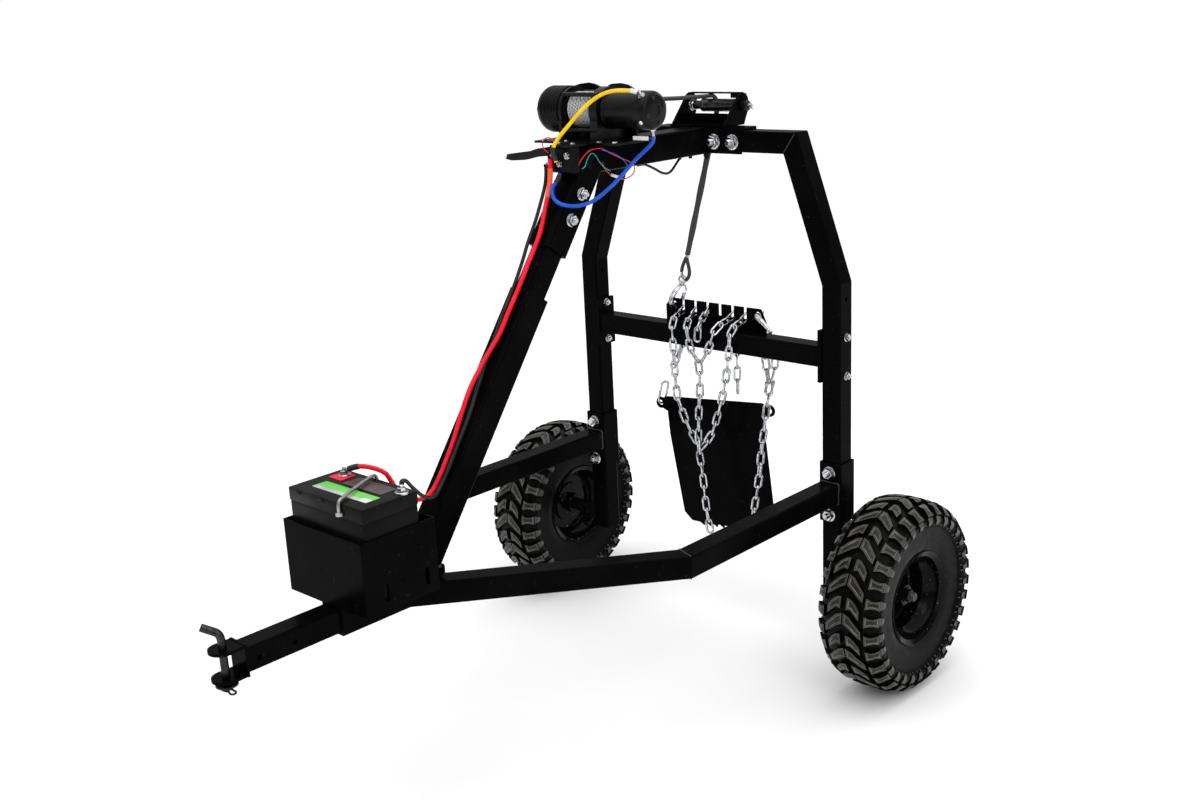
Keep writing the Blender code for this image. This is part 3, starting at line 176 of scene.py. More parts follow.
def mix(tree, factor, first, second):
    node = tree.nodes.new("ShaderNodeMix")
    node.data_type = 'RGBA'
    for socket, source in (("Factor", factor), ("A", first), ("B", second)):
        place = [s for s in node.inputs if s.name == socket and s.type in ('RGBA', 'VALUE')]
        place = [s for s in place if (s.type == 'VALUE') == (socket == "Factor")][0]
        if isinstance(source, tuple):
            place.default_value = (*source, 1.0)
        elif isinstance(source, (int, float)):
            place.default_value = source
        else:
            tree.links.new(source, place)
    return [s for s in node.outputs if s.type == 'RGBA'][0]


def material(name, base, second, rough, span, metallic=0.0, bump=0.12, grain=700.0, cloud=9.0, specks=None,
             scuff_and_glint_edge=None, coat=0.0, round_edges=0.0, scratches=None, specular=0.5, painted_edge_shade=None):
    """A finish: two clouded tones, uneven roughness and fine grain.

    It may also have specks, scratches, lighter edges (part abrasion, part painted highlight),
    and a painted shade where the surface turns from the view.
    """
    mat = bpy.data.materials.new(name)
    mat.use_nodes = True
    tree = mat.node_tree
    shader = tree.nodes["Principled BSDF"]
    shader.inputs["Metallic"].default_value = metallic
    shader.inputs["Specular IOR Level"].default_value = specular
    shader.inputs["Coat Weight"].default_value = coat
    shader.inputs["Coat Roughness"].default_value = 0.12
    coords = tree.nodes.new("ShaderNodeTexCoord")
    clouds = noise(tree, coords, cloud, 5.0)
    colour = ramp(tree, clouds, 0.38, 0.66, base, second)
    uneven = noise(tree, coords, cloud * 2.7, 6.0, 0.65)
    roughness = stretch_value(tree, uneven, 0.3, 0.7, rough - span, rough + span)
    if specks:
        tone, amount = specks
        dots = noise(tree, coords, 160.0, 2.0, 0.5)
        dots = stretch_value(tree, dots, 0.7 - amount, 0.76 - amount, 0.0, 1.0)
        colour = mix(tree, dots, colour, tone)
    if scratches:
        tone, amount = scratches
        lines = noise(tree, coords, 30.0, 3.0, 0.6, (9.0, 1.0, 1.4))
        lines = stretch_value(tree, lines, 0.66 - amount, 0.7 - amount, 0.0, 1.0)
        colour = mix(tree, lines, colour, tone)
    fine = tree.nodes.new("ShaderNodeBump")
    fine.inputs["Strength"].default_value = bump
    fine.inputs["Distance"].default_value = 0.0006
    tree.links.new(noise(tree, coords, grain, 3.0, 0.6), fine.inputs["Height"])
    if round_edges:
        edge = tree.nodes.new("ShaderNodeBevel")
        edge.samples = 4
        edge.inputs["Radius"].default_value = round_edges
        tree.links.new(edge.outputs["Normal"], fine.inputs["Normal"])
    # lighter convex edges: part abrasion, part painted highlight
    if scuff_and_glint_edge:
        edge = tree.nodes.new("ShaderNodeNewGeometry")
        scuff_and_glint_mask = stretch_value(tree, edge.outputs["Pointiness"], 0.53, 0.62, 0.0, 0.8)
        colour = mix(tree, scuff_and_glint_mask, colour, scuff_and_glint_edge)
    # painted shade: colour darkened where the surface turns from the view
    if painted_edge_shade is not None:
        turned = tree.nodes.new("ShaderNodeLayerWeight")
        turned.inputs["Blend"].default_value = 0.5
        away = stretch_value(tree, turned.outputs["Facing"], 0.35, 0.85, 0.0, 1.0)
        colour = mix(tree, away, colour, (painted_edge_shade, painted_edge_shade, painted_edge_shade * 1.05))
    tree.links.new(fine.outputs["Normal"], shader.inputs["Normal"])
    tree.links.new(colour, shader.inputs["Base Color"])
    tree.links.new(roughness, shader.inputs["Roughness"])
    return mat


def braided(name, base, second, rough, strands):
    """Plaited cover: slanted strands cross both ways, with painted shade in the groove between them."""
    mat = material(name, base, second, rough, 0.08, bump=0.05, grain=900.0, cloud=40.0)
    tree = mat.node_tree
    shader = tree.nodes["Principled BSDF"]
    coords = tree.nodes.new("ShaderNodeTexCoord")
    heights = []
    for turn in (38, -38):
        mapping = tree.nodes.new("ShaderNodeMapping")
        slant = math.radians(turn)
        mapping.inputs["Rotation"].default_value = (slant, 0.6 * slant, slant)
        tree.links.new(coords.outputs["Object"], mapping.inputs["Vector"])
        wave = tree.nodes.new("ShaderNodeTexWave")
        wave.inputs["Scale"].default_value = strands
        wave.inputs["Distortion"].default_value = 1.5
        wave.inputs["Detail"].default_value = 2.0
        tree.links.new(mapping.outputs["Vector"], wave.inputs["Vector"])
        heights.append(wave.outputs["Fac"])
    both = mix(tree, 0.5, heights[0], heights[1])
    bump = tree.nodes.new("ShaderNodeBump")
    bump.inputs["Strength"].default_value = 0.6
    bump.inputs["Distance"].default_value = 0.0012
    tree.links.new(both, bump.inputs["Height"])
    tree.links.new(bump.outputs["Normal"], shader.inputs["Normal"])
    # painted shade: the groove between strands is darkened to a quarter of the base tone
    dark = tuple(c * 0.25 for c in base)
    tone = ramp(tree, both, 0.15, 0.75, dark, second)
    tree.links.new(tone, shader.inputs["Base Color"])
    return mat


def grey(level, blue=None):
    return (level, level, level if blue is None else blue)


def lead_covers():
    """Two tones for each lead's plastic cover."""
    return {
        "yellow": ((0.86, 0.52, 0.004), (0.93, 0.62, 0.01)),
        "blue": ((0.006, 0.07, 0.5), (0.012, 0.11, 0.68)),
        "red": ((0.74, 0.003, 0.018), (0.9, 0.007, 0.034)),
        "black": (grey(0.01), grey(0.022)),
        "thin_red": ((0.6, 0.006, 0.02), (0.8, 0.02, 0.05)),
        "thin_teal": ((0.01, 0.36, 0.3), (0.03, 0.5, 0.42)),
        "thin_blue": ((0.02, 0.1, 0.5), (0.04, 0.2, 0.7)),
        "connector": ((0.7, 0.7, 0.66), (0.8, 0.8, 0.76)),
        "orange": ((0.8, 0.1, 0.03), (0.9, 0.15, 0.05)),
    }


def make_materials():
    m = {
        # painted and moulded black
        "paint": material(
            "powder_coat", grey(0.0013, 0.0015), grey(0.0024, 0.0027), 0.24, 0.06, bump=0.1, grain=420.0,
            specks=(grey(0.03), -0.02), scratches=(grey(0.008), -0.01), specular=0.014, round_edges=0.0012),
        "weld": material(
            "weld_paint", grey(0.003, 0.0033), grey(0.007, 0.0075), 0.26, 0.08, bump=0.5, grain=240.0,
            coat=0.2),
        "rim": material(
            "rim_paint", grey(0.0012, 0.0014), grey(0.0024, 0.0027), 0.14, 0.06, bump=0.05,
            specks=(grey(0.2), 0.005), scratches=(grey(0.03), 0.0), specular=0.07),
        "winch": material(
            "winch_satin", grey(0.0018, 0.002), grey(0.0034, 0.0037), 0.28, 0.08, bump=0.12, grain=600.0,
            specks=(grey(0.05), -0.03), round_edges=0.0008, specular=0.14),
        "plastic": material(
            "moulded_black", grey(0.002, 0.0021), grey(0.004, 0.0042), 0.38, 0.08, bump=0.14, grain=800.0,
            specks=(grey(0.03), -0.02), round_edges=0.0008, specular=0.08),
        "boot": material(
            "heat_shrink", grey(0.007), grey(0.016), 0.48, 0.08, bump=0.2, cloud=60.0, specular=0.4),
        # tyre: dark carcass, block tops lightened as a painted sheen, and recess slopes lightened part by
        # scuffing and part as a painted highlight
        "rubber": material(
            "tyre_rubber", grey(0.0015, 0.0016), grey(0.0032, 0.0033), 0.34, 0.1, bump=0.2, grain=520.0,
            cloud=14.0, specks=(grey(0.05), -0.02), scratches=(grey(0.016, 0.015), -0.02), specular=0.045),
        "rubber_top_sheen": material(
            "tyre_blocks_painted_sheen", grey(0.006, 0.0062), (0.022, 0.0215, 0.02), 0.34, 0.08, bump=0.2, grain=420.0,
            cloud=60.0, specks=(grey(0.06, 0.055), -0.01), scuff_and_glint_edge=(0.08, 0.076, 0.068), specular=0.22),
        "rubber_recess_scuff_and_highlight": material(
            "tyre_recess_scuff_and_highlight", (0.06, 0.057, 0.05), (0.21, 0.2, 0.176), 0.46, 0.1, bump=0.2, grain=420.0,
            cloud=60.0, specular=0.4),
        # metals; zinc and wire are darkened as a painted shade where they turn from the view
        "zinc": material(
            "zinc_plate", (0.42, 0.43, 0.45), (0.72, 0.73, 0.75), 0.2, 0.08, metallic=1.0, bump=0.1,
            grain=300.0, cloud=110.0, specks=(grey(0.16, 0.17), 0.0), painted_edge_shade=0.1),
        "bright": material(
            "zinc_wire", (0.34, 0.35, 0.37), (0.8, 0.81, 0.84), 0.18, 0.06, metallic=1.0, bump=0.08,
            grain=260.0, cloud=130.0, specks=(grey(0.14, 0.15), 0.0), painted_edge_shade=0.06),
        "steel": material(
            "dark_steel", grey(0.018, 0.019), grey(0.05, 0.052), 0.3, 0.1, metallic=0.9, bump=0.12,
            cloud=70.0, scratches=(grey(0.3, 0.31), 0.0)),
        "bare": material(
            "bare_steel", (0.28, 0.27, 0.26), (0.45, 0.44, 0.42), 0.38, 0.1, metallic=1.0, bump=0.15,
            cloud=45.0, specks=((0.12, 0.1, 0.08), 0.02)),
        # ropes
        "rope": braided("rope_braid", (0.22, 0.225, 0.235), (0.62, 0.63, 0.64), 0.72, 90.0),
        "sleeve": braided("sleeve_weave", grey(0.01, 0.011), grey(0.045, 0.047), 0.6, 130.0),
        # blank labels
        "label_green": material(
            "label_green", (0.09, 0.52, 0.05), (0.14, 0.62, 0.08), 0.35, 0.05, bump=0.05, cloud=25.0,
            scratches=((0.05, 0.3, 0.04), 0.0)),
        "label_grey": material(
            "label_grey", (0.4, 0.41, 0.42), (0.55, 0.56, 0.57), 0.38, 0.06, bump=0.05, cloud=25.0,
            scratches=(grey(0.2), 0.01)),
        "label_white": material(
            "label_white", grey(0.62, 0.6), grey(0.72, 0.7), 0.45, 0.06, bump=0.06, cloud=30.0,
            scratches=(grey(0.35, 0.34), 0.0)),
        "label_dark": material(
            "label_dark", (0.035, 0.022, 0.02), (0.06, 0.04, 0.036), 0.42, 0.08, bump=0.08, cloud=40.0,
            scratches=((0.1, 0.09, 0.09), 0.01)),
    }
    for name, (low, high) in lead_covers().items():
        specks = (tuple(c * 0.5 for c in low), -0.03)
        m[name] = material("cover_" + name, low, high, 0.36, 0.06, bump=0.08, grain=500.0, cloud=30.0,
                           specks=specks, specular=0.18)
    return m


# ---------------------------------------------------------------- mesh helpers
def frame_along(direction, towards=None):
    """Rotation whose Z axis points along the direction, and whose X axis leans towards another."""
    z = Vector(direction).normalized()
    if towards is None:
        towards = X_AXIS if abs(z.x) < 0.9 else Y_AXIS
    x = Vector(towards) - z * Vector(towards).dot(z)
    x.normalize()
    return Matrix((x, z.cross(x), z)).transposed().to_4x4()


def bridge(bm, rings, closed_way=False):
    """Skins a list of equal rings of points; rings may close on themselves."""
    loops = [[bm.verts.new(p) for p in ring] for ring in rings]
    count = len(loops[0])
    pairs = list(zip(loops, loops[1:]))
    if closed_way:
        pairs.append((loops[-1], loops[0]))
    for low, high in pairs:
        for i in range(count):
            j = (i + 1) % count
            bm.faces.new((low[i], low[j], high[j], high[i]))
    if not closed_way:
        bm.faces.new(loops[0][::-1])
        bm.faces.new(loops[-1])


def circle(radius, sides, phase=0.0):
    angles = [phase + 2 * math.pi * i / sides for i in range(sides)]
    return [(radius * math.cos(a), radius * math.sin(a)) for a in angles]


def add_turned(bm, profile, base, direction, sides=32, phase=0.0):
    """A solid turned from (radius, distance) points along the axis."""
    place = Matrix.Translation(base) @ frame_along(direction)
    bridge(bm, [[place @ Vector((x, y, d)) for x, y in circle(r, sides, phase)] for r, d in profile])


def add_ring(bm, profile, base, direction, sides=64):
    """A ring turned from a closed outline of (radius, distance) points."""
    place = Matrix.Translation(base) @ frame_along(direction)
    rings = []
    for i in range(sides):
        a = 2 * math.pi * i / sides
        rings.append([place @ Vector((r * math.cos(a), r * math.sin(a), d)) for r, d in profile])
    bridge(bm, rings, closed_way=True)


def add_box(bm, low, high, bevel=0.0):
    low, high = Vector(low), Vector(high)
    scale = Matrix.Diagonal((*(high - low), 1.0))
    found = bmesh.ops.create_cube(bm, size=1.0, matrix=Matrix.Translation((low + high) / 2) @ scale)
    if bevel:
        edges = {e for v in found["verts"] for e in v.link_edges}
        bmesh.ops.bevel(bm, geom=list(edges), offset=bevel, segments=2, profile=0.5, affect='EDGES')


def smooth_route(points, spacing):
    """Evenly spaced points on a smooth curve through the given points."""
    pts = [Vector(p) for p in points]
    pts = [2 * pts[0] - pts[1]] + pts + [2 * pts[-1] - pts[-2]]
    fine = []
    for a, b, c, d in zip(pts, pts[1:], pts[2:], pts[3:]):
        for step in range(24):
            t = step / 24
            fine.append(0.5 * (2 * b + (c - a) * t + (2 * a - 5 * b + 4 * c - d) * t ** 2
                               + (3 * b - a - 3 * c + d) * t ** 3))
    fine.append(pts[-2])
    length = sum((b - a).length for a, b in zip(fine, fine[1:]))
    count = max(2, round(length / spacing))
    even, travelled, wanted = [fine[0]], 0.0, length / count
    for a, b in zip(fine, fine[1:]):
        step = (b - a).length
        while travelled + step >= wanted * len(even) - 1e-9 and len(even) < count:
            even.append(a.lerp(b, (wanted * len(even) - travelled) / step))
        travelled += step
    even.append(fine[-1])
    return even


def frames_on(points):
    """Rotations that travel along the points without twisting."""
    turns = []
    side = None
    for i, point in enumerate(points):
        ahead = (points[min(i + 1, len(points) - 1)] - points[max(i - 1, 0)]).normalized()
        turn = frame_along(ahead, side)
        side = turn.col[0].to_3d()
        turns.append(turn)
    return turns


def add_tube(bm, points, radii, sides):
    """A round bar along points, with a radius for each, or one for all."""
    if isinstance(radii, (int, float)):
        radii = [radii] * len(points)
    rings = []
    for point, radius, turn in zip(points, radii, frames_on(points)):
        rings.append([point + turn.to_3x3() @ Vector((x, y, 0.0)) for x, y in circle(radius, sides)])
    bridge(bm, rings)


def piece(name, bm, finish, body="cart", nodes=(), sharp=38.0):
    """Makes a mesh piece that rides on a body and stands for the given CAD nodes."""
    bmesh.ops.recalc_face_normals(bm, faces=bm.faces)
    mesh = bpy.data.meshes.new(name)
    bm.to_mesh(mesh)
    bm.free()
    mesh.materials.append(FINISHES[finish])
    mesh.shade_smooth()
    mesh.set_sharp_from_angle(angle=math.radians(sharp))
    ob = bpy.data.objects.new(name, mesh)
    bpy.context.scene.collection.objects.link(ob)
    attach(ob, body)
    if nodes:
        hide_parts(*nodes)
    return ob


def paint_node(node, finish):
    ob = NODES[node]
    ob.data.materials.clear()
    ob.data.materials.append(FINISHES[finish])
    ob.data.shade_smooth()
    ob.data.set_sharp_from_angle(angle=math.radians(38))


# ---------------------------------------------------------------- ropes and leads
def route_length(route):
    return sum((b - a).length for a, b in zip(route, route[1:]))


def add_cord(name, points, diameter, finish, node=None, step=1.2,
             with_pieces=()):
    """One free cord as a curve through the route's points."""
    route = smooth_route([at(*p) for p in points], diameter * step)
    curve = bpy.data.curves.new(name, 'CURVE')
    curve.dimensions = '3D'
    curve.bevel_depth = diameter / 2
    curve.bevel_resolution = 5
    curve.use_fill_caps = True
    spline = curve.splines.new('POLY')
    spline.points.add(len(route) - 1)
    for point, place in zip(spline.points, route):
        point.co = (*place, 1.0)
    spline.use_smooth = True
    curve.materials.append(FINISHES[finish])
    ob = bpy.data.objects.new(name, curve)
    bpy.context.scene.collection.objects.link(ob)
    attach(ob, "cart")
    if node:
        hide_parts(node)
    return ob


def add_boot(name, points, radius, start, end, finish="boot"):
    """A shrunk sleeve over part of a lead, from `start` to `end` along its route, or back from its end."""
    route = smooth_route([at(*p) for p in points], 0.003)
    if end <= 0.0:
        whole = route_length(route)
        start, end = whole + start, whole + end
    chosen, travelled = [], 0.0
    for a, b in zip(route, route[1:]):
        if start <= travelled <= end:
            chosen.append(a)
        travelled += (b - a).length
    radii = [radius] * len(chosen)
    radii[0] = radii[-1] = radius * 0.93
    bm = bmesh.new()
    add_tube(bm, chosen, radii, 20)
    return piece(name, bm, finish)


YELLOW = [
    (0.159, -0.4185, 1.4178), (0.1525, -0.425, 1.4212), (0.1441, -0.433, 1.4225), (0.1279, -0.447, 1.4234),
    (0.1086, -0.458, 1.4199), (0.0869, -0.467, 1.4099), (0.0636, -0.475, 1.3933), (0.044, -0.484, 1.3735),
    (0.026, -0.494, 1.352), (0.012, -0.507, 1.331), (0.005, -0.52, 1.311), (0.005, -0.523, 1.296),
    (0.006, -0.5175, 1.285), (0.0062, -0.5165, 1.277),
]
BLUE = [
    (0.166, -0.3765, 1.3212), (0.1645, -0.3765, 1.314), (0.156, -0.378, 1.303), (0.13, -0.3953, 1.2752),
    (0.105, -0.4174, 1.2405), (0.085, -0.4449, 1.2111), (0.065, -0.474, 1.189), (0.05, -0.503, 1.183),
    (0.037, -0.528, 1.187), (0.022, -0.536, 1.194), (0.01, -0.535, 1.204), (0.0, -0.528, 1.218),
    (-0.003, -0.517, 1.228), (-0.002, -0.506, 1.237), (-0.001, -0.501, 1.244), (-0.001, -0.5, 1.2502),
]
RED = [
    (-0.068, -1.085, 0.7225), (-0.06, -1.08, 0.7262), (-0.046, -1.07, 0.7292), (-0.027, -1.058, 0.7268),
    (-0.006, -1.042, 0.716), (0.0, -1.033, 0.698), (0.0, -1.018, 0.672), (0.0, -0.995, 0.649),
    (0.0, -0.964, 0.636), (0.001, -0.935, 0.641), (0.002, -0.909, 0.668), (0.0, -0.88, 0.706),
    (-0.002, -0.856, 0.74), (-0.003, -0.832, 0.785), (-0.003, -0.802, 0.835), (-0.001, -0.758, 0.887),
    (0.003, -0.716, 0.932), (0.007, -0.687, 0.978), (0.006, -0.65, 1.026), (0.004, -0.616, 1.073),
    (0.0, -0.572, 1.13), (-0.0085, -0.5425, 1.183), (-0.0115, -0.5235, 1.2263), (-0.0115, -0.518, 1.26),
    (-0.011, -0.517, 1.2832),
]
BLACK = [
    (0.095, -1.08, 0.7235), (0.087, -1.072, 0.724), (0.07, -1.05, 0.716), (0.054, -1.02, 0.688),
    (0.038, -0.982, 0.656), (0.024, -0.944, 0.642), (0.016, -0.918, 0.656), (0.015, -0.893, 0.686),
    (0.013, -0.856, 0.737), (0.01, -0.82, 0.785), (0.002, -0.785, 0.833), (-0.006, -0.745, 0.888),
    (-0.008, -0.714, 0.932), (-0.009, -0.684, 0.978), (-0.013, -0.647, 1.026), (-0.018, -0.613, 1.073),
    (-0.022, -0.588, 1.112), (-0.024, -0.562, 1.15), (-0.027, -0.539, 1.188), (-0.0285, -0.52, 1.226),
    (-0.0275, -0.516, 1.25), (-0.027, -0.516, 1.264),
]
BOOM_LEAD = [
    (0.0, -0.245, 1.239), (0.0, -0.22, 1.2385), (0.0, -0.188, 1.226), (0.0, -0.155, 1.211),
    (0.0, -0.128, 1.211), (0.0, -0.098, 1.234), (0.0, -0.088, 1.239),
]
SIGNAL = [
    (0.044, -0.486, 1.27), (0.052, -0.484, 1.282), (0.052, -0.46, 1.296), (0.048, -0.4278, 1.2985),
    (0.044, -0.405, 1.294), (0.04, -0.3756, 1.2809), (0.04, -0.3425, 1.2672), (0.04, -0.3157, 1.2564),
    (0.04, -0.3008, 1.2433), (0.04, -0.3051, 1.2301), (0.04, -0.3212, 1.2228), (0.04, -0.3454, 1.2222),
    (0.039, -0.3721, 1.2311), (0.037, -0.3914, 1.2446), (0.035, -0.3972, 1.254), (0.0333, -0.3985, 1.265),
]
TEAL_WIRE = [
    (0.047, -0.48, 1.26), (0.05, -0.4734, 1.264), (0.048, -0.464, 1.276), (0.045, -0.4491, 1.288),
    (0.042, -0.4329, 1.286), (0.04, -0.4175, 1.2697), (0.04, -0.4019, 1.2546), (0.04, -0.3825, 1.2446),
]
THIN_BLUE = [
    (0.044, -0.41, 1.293), (0.044, -0.3866, 1.286), (0.043, -0.3602, 1.276), (0.043, -0.3405, 1.2636),
    (0.043, -0.3277, 1.25),
]
RED_LOOP = [
    (-0.021, -0.512, 1.295), (-0.03, -0.518, 1.308), (-0.026, -0.52, 1.322), (-0.012, -0.52, 1.329),
    (-0.001, -0.517, 1.325), (0.003, -0.516, 1.315),
]
ROLLER_TOP = ROLLER_R + 0.0064


def rope_route():
    route = [
        (-0.012, WINCH_Y + 0.034, WINCH_Z + 0.0245),
        (-0.012, -0.25, 1.389),
        (-0.012, -0.1, 1.379),
        (-0.012, ROLLER_Y - 0.03, ROLLER_Z + ROLLER_TOP + 0.0005),
    ]
    for angle in (90, 60, 30, 0):
        a = math.radians(angle)
        route.append((-0.012, ROLLER_Y + ROLLER_TOP * math.cos(a), ROLLER_Z + ROLLER_TOP * math.sin(a)))
    route += [
        (-0.018, ROLLER_Y + ROLLER_TOP + 0.0015, 1.32),
        (-0.028, ROLLER_Y + ROLLER_TOP, 1.29),
        (-0.056, 0.068, 1.18),
        (-0.087, 0.063, 1.06),
        (-0.11, 0.058, 0.968),
    ]
    return route


def build_cords():
    boots = [add_boot("lead_boot_yellow", YELLOW, 0.0056, -0.034, 0.0)]
    boots.append(add_boot("lead_boot_yellow_motor", YELLOW, 0.005, 0.0, 0.016, "connector"))
    add_cord("motor_lead_yellow_cover", YELLOW, 0.0085, "yellow", "motor_lead_yellow",
             with_pieces=boots)
    add_cord("motor_lead_blue_cover", BLUE, 0.0085, "blue", "motor_lead_blue",
             with_pieces=[add_boot("lead_boot_blue", BLUE, 0.0054, -0.027, 0.0)])
    boots = [add_boot("lead_boot_red_battery", RED, 0.0063, 0.0, 0.026)]
    boots.append(add_boot("lead_boot_red_contactor", RED, 0.0058, -0.085, -0.02, "orange"))
    add_cord("battery_lead_red_cover", RED, 0.01, "red", "battery_lead_red",
             with_pieces=boots)
    add_cord("battery_lead_black_cover", BLACK, 0.008, "black", "battery_lead_black",
             with_pieces=[add_boot("lead_boot_black", BLACK, 0.0052, 0.0, 0.022)])
    add_cord("boom_lead_cover", BOOM_LEAD, 0.006, "black", "boom_lead")
    tip = add_boot("signal_connector", [(0.0405, -0.38, 1.235), (0.0405, -0.352, 1.226)], 0.0034, 0.0, 0.03,
                   "connector")
    add_cord("signal_wire_cover", SIGNAL, 0.0026, "thin_red", "signal_wire", step=1.6,
             with_pieces=[tip])
    add_cord("signal_wire_teal", TEAL_WIRE, 0.0022, "thin_teal", step=1.6)
    add_cord("signal_wire_blue", THIN_BLUE, 0.002, "thin_blue", step=1.6)
    add_cord("signal_wire_loop", RED_LOOP, 0.0022, "thin_red", step=1.6)

    route = smooth_route([at(*p) for p in rope_route()], 0.006)
    start = next(i for i, p in enumerate(route) if p.y > AXLE_Y - 0.335)
    covered = route[start:-1]
    bm = bmesh.new()
    rings = []
    for i, (point, turn) in enumerate(zip(covered, frames_on(covered))):
        # round as far as the roller, then pulled flat and slightly twisted where it hangs
        hang = min(1.0, max(0.0, (ROLLER_Z - point.z) / 0.05))
        ahead = turn.col[2].to_3d()
        across = Matrix.Rotation(0.35 * math.sin(i * 0.13), 3, ahead) @ Vector((0.73, 0.68, 0.0))
        wide, thin = 0.0051 + 0.0026 * hang + 0.0006 * hang * math.sin(i * 0.37), 0.0051 - 0.0003 * hang
        flat = frame_along(ahead, across).to_3x3()
        rings.append([point + flat @ Vector((x * wide, y * thin, 0.0)) for x, y in circle(1.0, 20)])
    bridge(bm, rings)
    sleeve = piece("rope_sleeve", bm, "sleeve")
    add_cord("winch_rope_cover", rope_route(), 0.009, "rope", "winch_rope",
             0.8, [sleeve, NODES["rope_thimble"], NODES["rope_hook"]])


# ---------------------------------------------------------------- wheels
# half section of the carcass, as (distance from the middle, radius)
CARCASS = [
    (0.0, 0.2195), (0.02, 0.2193), (0.04, 0.218), (0.058, 0.2125), (0.07, 0.2035), (0.0765, 0.1945),
    (0.0775, 0.188), (0.0745, 0.18), (0.0715, 0.1762), (0.0692, 0.1747), (0.0702, 0.1735), (0.0702, 0.1712),
    (0.0685, 0.17), (0.0672, 0.16), (0.0655, 0.14), (0.064, 0.125), (0.06, 0.1135),
    (0.0575, RIM_R + 0.0016),
]
# tread blocks, as (distance over the crown, start and end round the tyre)
CHEVRON = [(0.0018, 0.004, 0.03), (0.016, -0.004, 0.024), (0.03, -0.016, 0.01), (0.043, -0.026, -0.006)]
CROWN_PAIR = [(0.0075, -0.006, 0.022), (0.018, -0.004, 0.02), (0.03, -0.015, 0.01), (0.04, -0.024, -0.004)]
SHOULDER = [(0.05, -0.014, 0.013), (0.059, -0.0095, 0.0085), (0.069, -0.0095, 0.0085),
            (0.079, -0.0135, 0.0125)]
SHOULDER_STEP = [(0.0815, -0.012, 0.011), (0.09, -0.01, 0.009), (0.098, -0.007, 0.006)]
SIDE_RIB = [(0.099, -0.0018, 0.0018), (0.105, -0.0014, 0.0014)]
TREAD_PITCHES, LUG = 16, 0.0108


def profile_at(distance):
    """Point and outward normal on the carcass, a distance along its half section from the crown."""
    left = abs(distance)
    for (d0, r0), (d1, r1) in zip(CARCASS, CARCASS[1:]):
        step = math.hypot(d1 - d0, r1 - r0)
        if left <= step:
            break
        left -= step
    t = left / step
    way = 1.0 if distance >= 0 else -1.0
    point = (way * (d0 + (d1 - d0) * t), r0 + (r1 - r0) * t)
    normal = (way * (r0 - r1) / step, (d1 - d0) / step)
    return point, normal


def add_block(bm, centre, side, angle, stations, height, inset, recess):
    """A tread block: stations are (distance over the crown, start and end round the tyre), in metres."""
    def place(across, along, lift):
        (d, r), (nd, nr) = profile_at(across)
        a = angle - along / WHEEL_R
        radius = r + nr * lift
        return centre + Vector((side * (d + nd * lift), radius * math.cos(a), radius * math.sin(a)))

    flare = 0.0016
    low_rows, high_rows = [], []
    first, last = stations[0][0], stations[-1][0]
    for across, start, end in stations:
        spread = flare if across == last else (-flare if across == first else 0.0)
        low_rows.append([bm.verts.new(place(across + spread, along, -0.002))
                         for along in (start - flare, (start + end) / 2, end + flare)])
        lift = height if abs(across) < 0.06 else height * 0.85
        high_rows.append([bm.verts.new(place(across, along, lift))
                          for along in (start, (start + end) / 2, end)])
    tops = []
    for i in range(len(stations) - 1):
        for k in (0, 1):
            tops.append(bm.faces.new((high_rows[i][k], high_rows[i][k + 1], high_rows[i + 1][k + 1],
                                      high_rows[i + 1][k])))
            bm.faces.new((low_rows[i][k], low_rows[i + 1][k], low_rows[i + 1][k + 1], low_rows[i][k + 1]))
        for k in (0, 2):
            bm.faces.new((low_rows[i][k], high_rows[i][k], high_rows[i + 1][k], low_rows[i + 1][k]))
    for i in (0, -1):
        for k in (0, 1):
            bm.faces.new((low_rows[i][k], low_rows[i][k + 1], high_rows[i][k + 1], high_rows[i][k]))
    # block tops take the lighter rubber, a painted sheen
    for face in tops:
        face.material_index = 2
    if recess:
        bmesh.ops.recalc_face_normals(bm, faces=tops)
        out = spoke(angle)
        if tops[0].normal.dot(out) < 0:
            bmesh.ops.reverse_faces(bm, faces=tops)
        bmesh.ops.inset_region(bm, faces=tops, thickness=inset, depth=0.0, use_even_offset=True)
        slopes = bmesh.ops.inset_region(bm, faces=tops, thickness=0.0014, depth=-recess,
                                        use_even_offset=True)
        # recess slopes take the lighter rubber: part scuffing, part painted highlight
        for face in slopes["faces"]:
            face.material_index = 1


def build_tyre(side, label):
    centre = at(side * WHEEL_X, 0.0, WHEEL_R)
    section = [(r, d) for d, r in CARCASS]
    section += [(RIM_R + 0.0016, 0.047), (0.165, 0.057), (0.185, 0.068), (0.208, 0.056), (0.209, 0.0)]
    section += [(r, -d) for r, d in reversed(section[1:-1])]
    bm = bmesh.new()
    add_ring(bm, section, centre, (side, 0.0, 0.0), 144)
    for i in range(TREAD_PITCHES):
        row = 2 * math.pi * i / TREAD_PITCHES
        half_row = row + math.pi / TREAD_PITCHES
        for way in (-1, 1):
            def block(stations, angle, shift, height, inset, recess):
                moved = [(way * across, start + shift, end + shift) for across, start, end in stations]
                add_block(bm, centre, side, angle, moved, height, inset, recess)

            block(CHEVRON, row, 0.0, LUG, 0.0042, 0.0016)
            block(CROWN_PAIR, half_row, 0.0, LUG, 0.004, 0.0016)
            for angle, shift in ((row, -0.027), (half_row, -0.025)):
                block(SHOULDER, angle, shift, LUG, 0.003, 0.0014)
                block(SHOULDER_STEP, angle, shift, 0.0045, 0.0, 0.0)
                for k in (-1, 1):
                    block(SIDE_RIB, angle, shift + k * 0.009, 0.0016, 0.0, 0.0)
    ob = piece("tyre_%s_tread" % label, bm, "rubber", "wheel_" + label, ["tyre_" + label], 30.0)
    ob.data.materials.append(FINISHES["rubber_recess_scuff_and_highlight"])
    ob.data.materials.append(FINISHES["rubber_top_sheen"])


